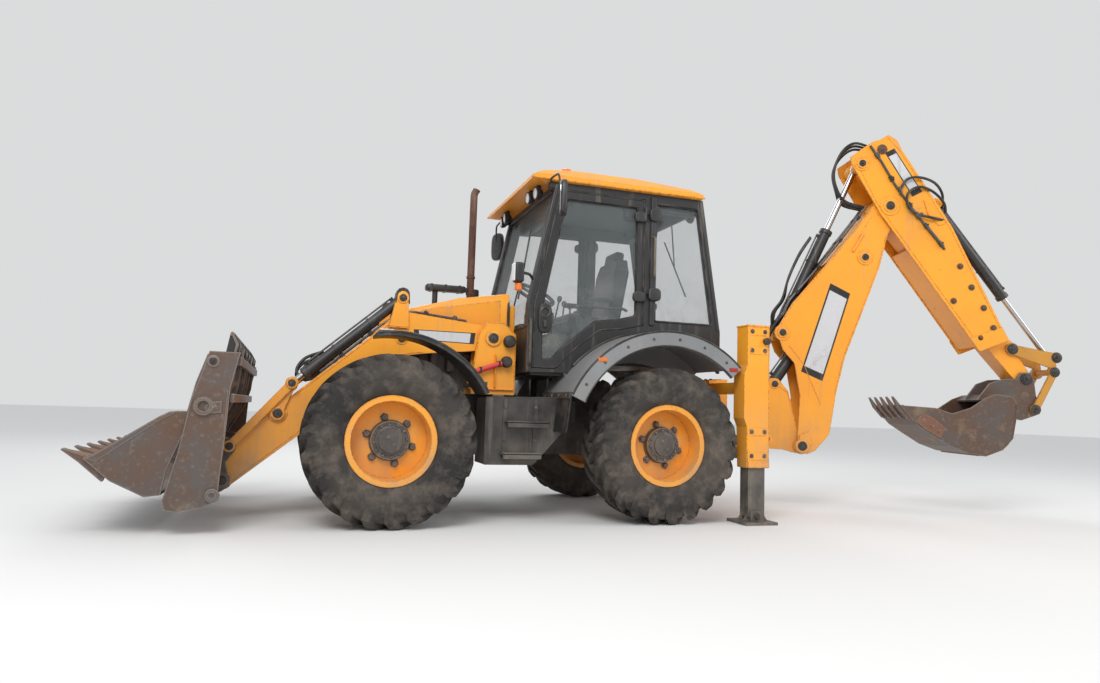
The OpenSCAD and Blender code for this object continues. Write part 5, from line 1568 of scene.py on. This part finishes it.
pipe_lane = 0.214
side_pipe = bent_line(
    dipper_path(
        (-0.6, 0.225, pipe_lane), (-0.4, 0.21, pipe_lane), (-0.12, 0.165, pipe_lane),
        (0.24, 0.148, pipe_lane), (0.64, 0.15, pipe_lane), (0.665, 0.15, 0.203)),
    0.06)
dipper_pipes = [tube(side_pipe, 0.0115, 10)]
dipper_pipes.append(tube(dipper_path((0.36, 0.149, pipe_lane), (0.64, 0.15, pipe_lane)), 0.016, 10))
add_piece("dipper_pipe", dipper_pipes, "dipper", pipe_steel, hoe_frame)
parts = []
for s, n in ((-0.48, 0.216), (-0.21, 0.18), (0.11, 0.154), (0.37, 0.149), (0.6, 0.15)):
    at = on_dipper(s, n, pipe_lane)
    parts.append(put(brick((-0.03, -0.016, -0.017), (0.03, 0.014, 0.017), 0.005), at, -52, "Y"))
    parts += bolts_at(
        [(at[0] + 0.016, 0.226, at[2] - 0.011), (at[0] - 0.016, 0.226, at[2] + 0.011)], 0.006, 0.006)
add_piece("dipper_pipe_clips", parts, "dipper", black, hoe_frame)

# Hoses. Braided rubber, free between their end fittings, so they bow or loop. Their lengths
# are those of the routes that the photograph shows.


def free_hose(name, controls, diameter, bodies, place_frame=hoe_frame):
    """A hose between two fittings. On two bodies it stays in the world, fixed to neither."""
    line = [place_frame @ point for point in curve_through(controls, 5)]
    piece = lone_object(name, coated(tube(line, diameter / 2, 10), hose_rubber))
    if len(bodies) == 2:
        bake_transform(piece)
    else:
        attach(piece, bodies[0])


def ferrules(name, ends, body):
    """Crimped steel ends. ends are pairs of a point and the way that the hose leaves it."""
    radius = 0.014
    parts = []
    for point, way in ends:
        point = Vector(point)
        way = Vector(way).normalized()
        parts.append(tube(
            [point - way * 0.03, point - way * 0.012, point - way * 0.011, point + way * 0.03],
            lambda i: radius * (0.8, 0.8, 1.25, 1.25)[i], 12))
        turn_to = toward(way)
        nut = hex_bolt(radius * 1.35, 0.02, (0, 0, 0), False)
        nut.transform(Matrix.Translation(point - way * 0.04) @ turn_to)
        parts.append(nut)
    add_piece(name, parts, body, pipe_steel, hoe_frame)


crowd_loops = []
for lane, swell in ((-0.06, 0.0), (0.0, 0.02), (0.06, 0.035)):
    controls = [
        on_dipper(-0.585, 0.3, lane), on_dipper(-0.69 - swell, 0.19, lane),
        on_dipper(-0.69 - swell, 0.02, lane), on_dipper(-0.61, -0.13 - swell, lane),
        on_dipper(-0.46, -0.215 - swell, lane), on_dipper(-0.3, -0.262, lane), (-1.12, lane, 3.045)]
    crowd_loops.append(controls)
for index, controls in enumerate(crowd_loops):
    free_hose(f"crowd_hose_{index + 1}", controls, 0.026, ("dipper", "boom"))
ferrules("crowd_hose_ends", [(controls[0], (-0.6, 0, 0.8)) for controls in crowd_loops], "dipper")

loop_1 = dipper_path(
    (-0.07, 0.17, 0.222), (-0.11, 0.29, 0.236), (-0.05, 0.4, 0.236), (0.08, 0.5, 0.2), (0.22, 0.54, 0.11),
    (0.34, 0.49, 0.036))
loop_2 = dipper_path(
    (0.235, 0.15, 0.224), (0.12, 0.12, 0.24), (0.01, 0.19, 0.246), (0.02, 0.33, 0.24), (0.14, 0.43, 0.2),
    (0.3, 0.49, 0.12), (0.4, 0.47, 0.062))
loop_3 = dipper_path(
    (0.245, 0.162, 0.228), (0.33, 0.225, 0.244), (0.42, 0.32, 0.2), (0.5, 0.4, 0.11), (0.56, 0.43, 0.055))
for index, controls in enumerate((loop_1, loop_2, loop_3)):
    free_hose(f"dipper_hose_{index + 1}", controls, 0.026, ("dipper", "inner_dipper"))
ferrules(
    "dipper_hose_ends",
    [(loop_1[0], (0.3, 0, 0.9)), (loop_2[0], (0.4, 0, 0.6)), (loop_3[0], (-0.6, 0, 0.2))], "dipper")

ram_hose_1 = [
    (-0.596, -0.03, 2.745), (-0.48, -0.035, 2.56), (-0.37, -0.035, 2.3), (-0.33, -0.035, 2.1),
    (-0.24, -0.035, 1.96), (-0.215, -0.03, 1.83)]
ram_hose_2 = [
    (-0.58, 0.03, 2.72), (-0.455, 0.035, 2.52), (-0.35, 0.04, 2.28), (-0.29, 0.04, 2.08),
    (-0.195, 0.04, 1.94), (-0.19, 0.03, 1.82)]
for index, controls in enumerate((ram_hose_1, ram_hose_2)):
    free_hose(f"dipper_ram_hose_{index + 1}", controls, 0.024, ("dipper_barrel",))

knee_hoses = []
for index, (y, out) in enumerate(((-0.1, 0.0), (-0.06, 0.02), (0.06, 0.0), (0.1, 0.02))):
    knee_hoses.append([
        (-0.3, y * 0.75, 1.93), (-0.19 + out, y, 1.76), (-0.095 + out, y, 1.56), (-0.03 + out, y, 1.33),
        (0.01, y * 1.2, 1.12), (-0.03, y * 1.3, 0.93)])
    free_hose(f"boom_foot_hose_{index + 1}", knee_hoses[-1], 0.027, ("boom", "kingpost"))
ferrules("boom_hose_ends", [(controls[0], (0.5, 0, -0.8)) for controls in knee_hoses], "boom")

# Kingpost. A heavy casting that turns on the slew pin between two collars, with welded cheeks
# and a pale dust cap on top.
parts = []
for side in either_side:
    for line in ([(-0.15, 1.245), (-0.32, 1.14)], [(-0.325, 1.135), (-0.412, 0.8), (-0.515, 0.665)]):
        parts += seam_along(line, side * 0.1255, 0.005)
    parts.append(brick((-0.11, side * 0.095 - 0.035, 0.66), (0.06, side * 0.095 + 0.035, 0.78), 0.02, 2))
for z in (0.61, 1.04):
    collar = lathed("collar", [(-0.02, 0.108), (-0.016, 0.12), (0.016, 0.12), (0.02, 0.108)], 40)
    smooth(collar)
    put(collar, (0, 0, z), 90)
    parts.append(collar)
add_piece("kingpost_seams", parts, "kingpost", yellow, hoe_frame)

pale_steel, tree, shader = new_material("pale_steel")
cover(
    tree, shader, Metallic=0.4,
    Roughness=band(tree, noise(tree, object_point(tree), 40.0), 0.3, 0.7, 0.3, 0.6),
    Base_Color=blend_colour(
        tree, mottle(tree, 16.0, 8.0, 0.4, 0.7), (0.55, 0.55, 0.53, 1), (0.36, 0.33, 0.29, 1)))
cap = put(
    turned([(0.0, 0.15), (0.006, 0.158), (0.018, 0.15), (0.03, 0.105), (0.036, 0.04)], 48), (0, 0, 1.205),
    90)
add_piece("slew_dust_cap", [cap], "carriage", pale_steel, hoe_frame)

# Loader arm hoses. Short braided rubber hoses that loop from the steel pipes on each arm back
# over its top, screwed to their fittings at both ends.
for side in either_side:
    for shift in (0.0, 0.05):
        arm_controls = [
            (2.7, side * 0.47, 1.13), (2.748 + shift * 0.3, side * 0.466, 1.094),
            (2.8 + shift, side * 0.44, 1.09), (2.82 + shift, side * 0.405, 1.15),
            (2.76 + shift, side * 0.39, 1.235), (2.68, side * 0.42, 1.29)]
        free_hose(
            f"arm_hose_{'left' if side > 0 else 'right'}_{1 if shift else 2}", arm_controls, 0.025,
            ["loader_arms"], front_frame)

# Hose guards. Coils of flat steel wound round the hoses at the boom's foot, which show as
# rings set along the hoses' curves.
parts = []
for controls in knee_hoses:
    line = curve_through(controls, 8)
    for index in range(14, 34, 2):
        ring = lathed("ring", [(-0.005, 0.0135), (-0.005, 0.019), (0.005, 0.019), (0.005, 0.0135)], 16)
        way = (line[index + 1] - line[index]).normalized()
        ring.transform(Matrix.Translation(line[index]) @ toward(way))
        parts.append(ring)
ring_line = joined("hose_guards", moved(coated_all(parts, pale_steel), hoe_frame))
guards = lone_object("hose_guards", ring_line)
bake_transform(guards)

# Wheel arches. Steel arches edged with rubber, with bolts along them, a rubber flap at the
# rear arch's front end, a pale cap on the front one, and amber and red reflectors.
wheelbase = 2.2


def arc_line(centre, radius, first, last, y, steps=26):
    """Points of an arc about a wheel's centre, between two angles in degrees."""
    turns = [math.radians(first + (last - first) * step / steps) for step in range(steps + 1)]
    return [
        Vector((centre + radius * math.cos(turn), y, tyre_radius + radius * math.sin(turn)))
        for turn in turns]



parts = []
for centre, outer, inner, first, last, y in (
    (0.0, 0.922, 0.806, 24.5, 134.5, 1.137), (wheelbase, 0.786, 0.76, 80.5, 151.5, 1.148)
):
    parts.append(coated(tube(arc_line(centre, outer, first, last, y), 0.009, 8), hose_rubber))
    parts.append(coated(tube(arc_line(centre, inner, first, last, y), 0.007, 8), hose_rubber))
    for spot in arc_line(centre, (outer + inner) / 2, first + 8, last - 8, y + 0.003, 6):
        if centre == 0.0:
            parts += coated_all(bolts_at([tuple(spot)], 0.009, 0.006), stud_steel)
flap = slab([(0.842, 1.008), (0.856, 1.006), (0.889, 0.716), (0.876, 0.714)], 0.47, 1.136, 0.004)
parts.append(coated(flap, hose_rubber))
parts.append(coated(
    slab([(0.838, 1.035), (0.862, 1.03), (0.868, 0.98), (0.846, 0.982)], 0.48, 1.13, 0.003), black))
parts += coated_all(
    bolts_at([(0.869, y, 1.005) for y in (0.55, 0.72, 0.9, 1.07)], 0.009, 0.007, (1, 0, 0)), stud_steel)
parts.append(coated(brick((2.225, 0.8, 1.418), (2.325, 1.146, 1.432), 0.005), sign_light))
parts += coated_all(
    bolts_at([(1.535, y, 1.083) for y in (0.62, 0.72, 0.9, 1.05)], 0.01, 0.008, (0, 0, 1)), stud_steel)
parts.append(coated(brick((0.56, 1.136, 1.28), (0.64, 1.146, 1.312), 0.004), amber))
parts.append(coated(brick((-0.62, 1.136, 1.25), (-0.54, 1.146, 1.282), 0.004), red_lens))
add_piece("wheel_arch_edges", on_both(parts), "chassis")

# Side tanks. Folded steel tanks under the doors, welded along their edges, with steps of
# studded plate hung on their faces, bolted straps and a filler cap.
parts = []
for z, x0, x1 in ((0.53, 1.02, 1.33), (0.775, 0.96, 1.3)):
    parts.append(coated(brick((x0, 0.836, z), (x1, 0.96, z + 0.012), 0.003), black))
    parts.append(coated(brick((x0, 0.948, z - 0.03), (x1, 0.96, z + 0.02), 0.003), black))
    studs = []
    for column in range(11):
        for row in range(3):
            studs.append(coated(
                put(
                    turned([(0.0, 0.0085), (0.005, 0.006)], 10),
                    (x0 + 0.024 + column * (x1 - x0 - 0.048) / 10, 0.862 + row * 0.034, z + 0.011), 90),
                stud_steel))
    parts += studs
for x in (1.04, 1.29):
    parts.append(coated(
        slab([(x - 0.02, 0.5), (x + 0.02, 0.5), (x + 0.02, 0.96), (x - 0.02, 0.97)], 0.829, 0.837, 0.002),
        black))
    parts += coated_all(bolts_at([(x, 0.837, z) for z in (0.64, 0.9)], 0.011, 0.009), stud_steel)
parts.append(coated(
    put(turned([(0.0, 0.05), (0.018, 0.05), (0.024, 0.044), (0.028, 0.02)], 32), (1.33, 0.74, 0.97), 90),
    stud_steel))
parts += [
    coated(weld((x0, y, z0), (x1, y, z1), 0.005), black)
    for x0, z0, x1, z1, y in (
        (0.802, 0.722, 0.802, 0.988, 0.829), (0.802, 0.99, 1.448, 0.971, 0.829),
        (1.449, 0.97, 1.449, 0.452, 0.829), (1.052, 0.451, 1.448, 0.451, 0.829),
        (0.802, 0.722, 1.048, 0.452, 0.829))]
add_piece("side_tank_steps", on_both(parts), "chassis")

# Rear frame. Square welded housings that the stabilisers slide in, with bolted wear pads and
# caps, feet on pins below, and the bolted carriage that runs on two welded beams.
parts = []
for z in (0.56, 0.76, 1.44, 1.6):
    parts += coated_all(bolts_at([(x, 1.16, z) for x in (-0.868, -0.745)], 0.014, 0.011), stud_steel)
    parts.append(coated(brick((-0.89, 1.158, z - 0.035), (-0.725, 1.163, z + 0.035), 0.002), yellow))
for x in (-0.909, -0.701):
    parts.append(coated(weld((x, 1.159, 0.462), (x, 1.159, 0.8 if x > -0.8 else 1.648), 0.005), yellow))
parts.append(coated(brick((-0.916, 0.994, 1.64), (-0.694, 1.166, 1.656), 0.004), yellow))
parts.append(coated(brick((-0.914, 1.158, 0.462), (-0.706, 1.17, 0.51), 0.004), yellow))
for z in (0.52, 1.08):
    for x in (-0.941, -0.799):
        for edge_z in (z + 0.002, z + 0.098):
            parts.append(coated(weld((x, 0.885, edge_z), (x, 0.998, edge_z), 0.0045), yellow))
parts.append(coated(
    put(turned([(0.0, 0.03), (0.03, 0.03), (0.034, 0.024)], 24), (-0.878, 1.16, 1.52)), pin_steel))
add_piece("stabiliser_housings", on_both(parts), "chassis")
for name, sign in (("left", 1), ("right", -1)):
    parts = []
    for x0, x1 in ((-0.925, -0.868), (-0.746, -0.689)):
        inner_x, outer_x = (x1, x0) if x0 < -0.8 else (x0, x1)
        for y in (-0.04, 0.04):
            parts.append(coated(
                slab(
                    [(outer_x, 0.024), (inner_x, 0.024), (inner_x, 0.11)], sign * 1.08 + y - 0.006,
                    sign * 1.08 + y + 0.006, 0.002),
                black))
    parts.append(coated(
        put(
            turned([(-0.082, 0.024), (-0.078, 0.028), (0.078, 0.028), (0.082, 0.024)], 24),
            (-0.807, sign * 1.08, 0.068)),
        pin_steel))
    for x in (-0.884, -0.73):
        parts.append(coated(
            weld((x, sign * 1.08 - 0.058, 0.026), (x, sign * 1.08 + 0.058, 0.026), 0.005), black))
    add_piece(f"stabiliser_foot_{name}", parts, f"stabiliser_{name}")
parts = []
for y in (-0.215, -0.12, 0.12, 0.215):
    parts += coated_all(
        bolts_at([(x, y, 1.22) for x in (-1.0, -0.905)], 0.016, 0.014, (0, 0, 1)), stud_steel)
    parts += coated_all(
        bolts_at([(x, y, 0.48) for x in (-1.0, -0.905)], 0.016, 0.014, (0, 0, -1)), stud_steel)
    parts += coated_all(
        bolts_at([(-1.06, y, z) for z in (0.72, 0.85, 0.98)], 0.013, 0.011, (-1, 0, 0)), stud_steel)
for z in (0.511, 0.561, 1.131, 1.179):
    for y in (-0.111, 0.111):
        parts.append(coated(weld((-1.061, y, z), (-1.38, y, z), 0.005), yellow))
for y in (0.15, -0.15):
    parts.append(coated(
        put(
            turned([(-0.01, 0.052), (0.2, 0.052), (0.215, 0.044), (0.22, 0.03)], 32), (-1.06, y, 0.65), 90,
            "Z"),
        black))
add_piece("carriage_fittings", parts, "carriage")

# Digging bucket. Worn side cutters bolted on its cheeks, a forged tip on each tooth's shank,
# welds along the shell and strips of harder steel under its heel.
parts = []
half_dig = 0.33
tooth_count = 5
for side in either_side:
    y = side * half_dig
    cutter = slab(
        [(-1.47, 0.896), (-1.6, 0.8), (-1.72, 0.735), (-1.77, 0.83), (-1.65, 0.93), (-1.56, 0.965)], y,
        y + side * 0.01, 0.003)
    parts.append(coated(cutter, tine_steel))
    parts += coated_all(
        bolts_at(
            [(x, y + side * 0.01, z) for x, z in ((-1.56, 0.9), (-1.64, 0.85), (-1.71, 0.8))], 0.013, 0.01,
            (0, side, 0)),
        tine_steel)
    shell_line = [
        (-1.985, 0.604), (-2.145, 0.582), (-2.303, 0.646), (-2.4, 0.755), (-2.437, 0.95), (-2.445, 1.078)]
    parts += coated_all(seam_along(shell_line, y, 0.006), rusty_iron)
for index in range(tooth_count):
    y = (half_dig - 0.045) * (2 * index / (tooth_count - 1) - 1)
    shank = slab(
        [(-1.445, 0.905), (-1.395, 0.965), (-1.352, 1.03), (-1.378, 1.046), (-1.43, 0.985), (-1.47, 0.945)],
        y - 0.036, y + 0.036, 0.005, 2)
    parts.append(coated(shank, tine_steel))
    parts += coated_all(bolts_at([(-1.405, y - 0.036, 0.985)], 0.009, 0.006, (0, -1, 0)), rusty_iron)
for z_turn, (x, z) in enumerate(((-2.06, 0.586), (-2.2, 0.604), (-2.352, 0.69))):
    parts.append(coated(
        put(
            brick((-0.03, -half_dig + 0.01, -0.007), (0.03, half_dig - 0.01, 0.007), 0.003), (x, 0, z),
            (-6, 22, 48)[z_turn], "Y"),
        tine_steel))
add_piece("hoe_bucket_wear", parts, "hoe_bucket", None, hoe_frame)

# Cab inside. A sprung seat with foam cushions and armrests, a steering wheel on its column,
# pedals of bent plate, and levers with round knobs for the loader and the digging arm.
for name, low, high, tip, place, fill in (
    ("seat_cushion", (-0.25, -0.245, -0.062), (0.255, 0.245, 0.062), -3, (0.315, 0.0, 1.695), 0.75),
    ("seat_back", (-0.056, -0.228, -0.215), (0.056, 0.228, 0.25), -9, (0.082, 0.0, 1.985), 0.7),
    ("seat_headrest", (-0.046, -0.14, -0.075), (0.046, 0.14, 0.075), -9, (0.04, 0.0, 2.322), 0.7),
    ("armrest_left", (-0.15, -0.032, -0.024), (0.15, 0.032, 0.024), 0, (0.3, 0.272, 1.905), 0.8),
    ("armrest_right", (-0.15, -0.032, -0.024), (0.15, 0.032, 0.024), 0, (0.3, -0.272, 1.905), 0.8),
):
    pad_mesh = brick(low, high, 0.03, 5)
    smooth(pad_mesh, 50)
    put(pad_mesh, place, tip, "Y")
    pad_piece = add_piece(name, [pad_mesh], "chassis", seat_cloth)
parts = []
for x, y, z, tall, lean in (
    (0.5, 0.345, 1.7, 0.23, 10), (0.44, 0.345, 1.7, 0.21, 6), (0.52, -0.345, 1.7, 0.25, 12),
    (0.43, -0.345, 1.7, 0.2, 4), (0.35, -0.345, 1.7, 0.18, 0),
):
    boot = turned(
        [(0.0, 0.034), (0.02, 0.026), (0.026, 0.03), (0.04, 0.021), (0.046, 0.025), (0.062, 0.013)], 24)
    stick = turned(
        [
            (0.05, 0.008), (tall, 0.008), (tall + 0.004, 0.018), (tall + 0.03, 0.026), (tall + 0.052, 0.02),
            (tall + 0.06, 0.008)],
        24)
    for mesh in (boot, stick):
        put(mesh, (0, 0, 0), lean, "Z")
        put(mesh, (x, y, z), 90)
        parts.append(mesh)
for y in (-0.15, -0.09, -0.03, 0.03, 0.09, 0.15):
    lever_rings = [(0.0, 0.03), (0.018, 0.022), (0.024, 0.026), (0.04, 0.018), (0.06, 0.008)]
    lever_rings += [(0.44, 0.008), (0.445, 0.016), (0.47, 0.021), (0.492, 0.016), (0.5, 0.006)]
    parts.append(put(turned(lever_rings, 20), (-0.33, y, 1.428), 90))
turns = [step * math.tau / 40 for step in range(41)]
ring_points = [(0.187 * math.cos(turn), 0.187 * math.sin(turn), 0.013) for turn in turns]
wheel_grip = tube(ring_points, 0.016, 12)
horn = put(turned([(0.0, 0.04), (0.012, 0.04), (0.022, 0.03), (0.026, 0.01)], 28), (0, 0, 0.024), 90)
for mesh in (wheel_grip, horn):
    put(mesh, (0.83, 0, 1.93), -25, "Y")
    parts.append(mesh)
for y in (-0.25, -0.14, 0.14, 0.25):
    parts.append(slab(
        [(0.8, 1.212), (0.812, 1.208), (0.878, 1.33), (0.868, 1.338)], y - 0.038, y + 0.038, 0.004))
parts.append(brick((0.878, -0.25, 1.56), (1.03, -0.06, 1.64), 0.02, 3))
parts.append(brick((0.878, 0.06, 1.56), (1.03, 0.25, 1.64), 0.02, 3))
for y in (0.345, -0.345):
    parts.append(brick((-0.38, y - 0.04, 1.696), (0.25, y + 0.04, 1.72), 0.01, 2))
add_piece("cab_controls", parts, "chassis", trim)

# Drive line. A propeller shaft to each axle, steering rams with their rods, track rods, and a
# ring of bolts round each axle's middle casting.
parts = []
for start, end in (((0.15, 0.0, 0.64), (0.42, 0.0, 0.68)), ((1.25, 0.0, 0.68), (2.02, 0.0, 0.64))):
    parts.append(coated(tube([start, end], 0.034, 20), black))
    for point in (start, end):
        parts.append(coated(
            tube([Vector(point) - Vector((0.03, 0, 0)), Vector(point) + Vector((0.03, 0, 0))], 0.052, 20),
            black))
for centre in (0.0, wheelbase):
    turns = [step * math.tau / 14 for step in range(14)]
    ring = [(centre + 0.17 * math.cos(turn), tyre_radius + 0.17 * math.sin(turn)) for turn in turns]
    for side in either_side:
        parts += coated_all(
            bolts_at([(x, side * 0.01, z) for x, z in ring], 0.011, 0.012, (0, side, 0)), stud_steel)
        parts.append(coated(
            tube([(centre - 0.15, side * 0.235, 0.61), (centre - 0.15, side * 0.42, 0.612)], 0.016, 16),
            chrome))
        parts.append(coated(
            tube([(centre - 0.15, side * 0.41, 0.612), (centre - 0.146, side * 0.6, 0.618)], 0.013, 12),
            pin_steel))
add_piece("drive_line", parts, "chassis")
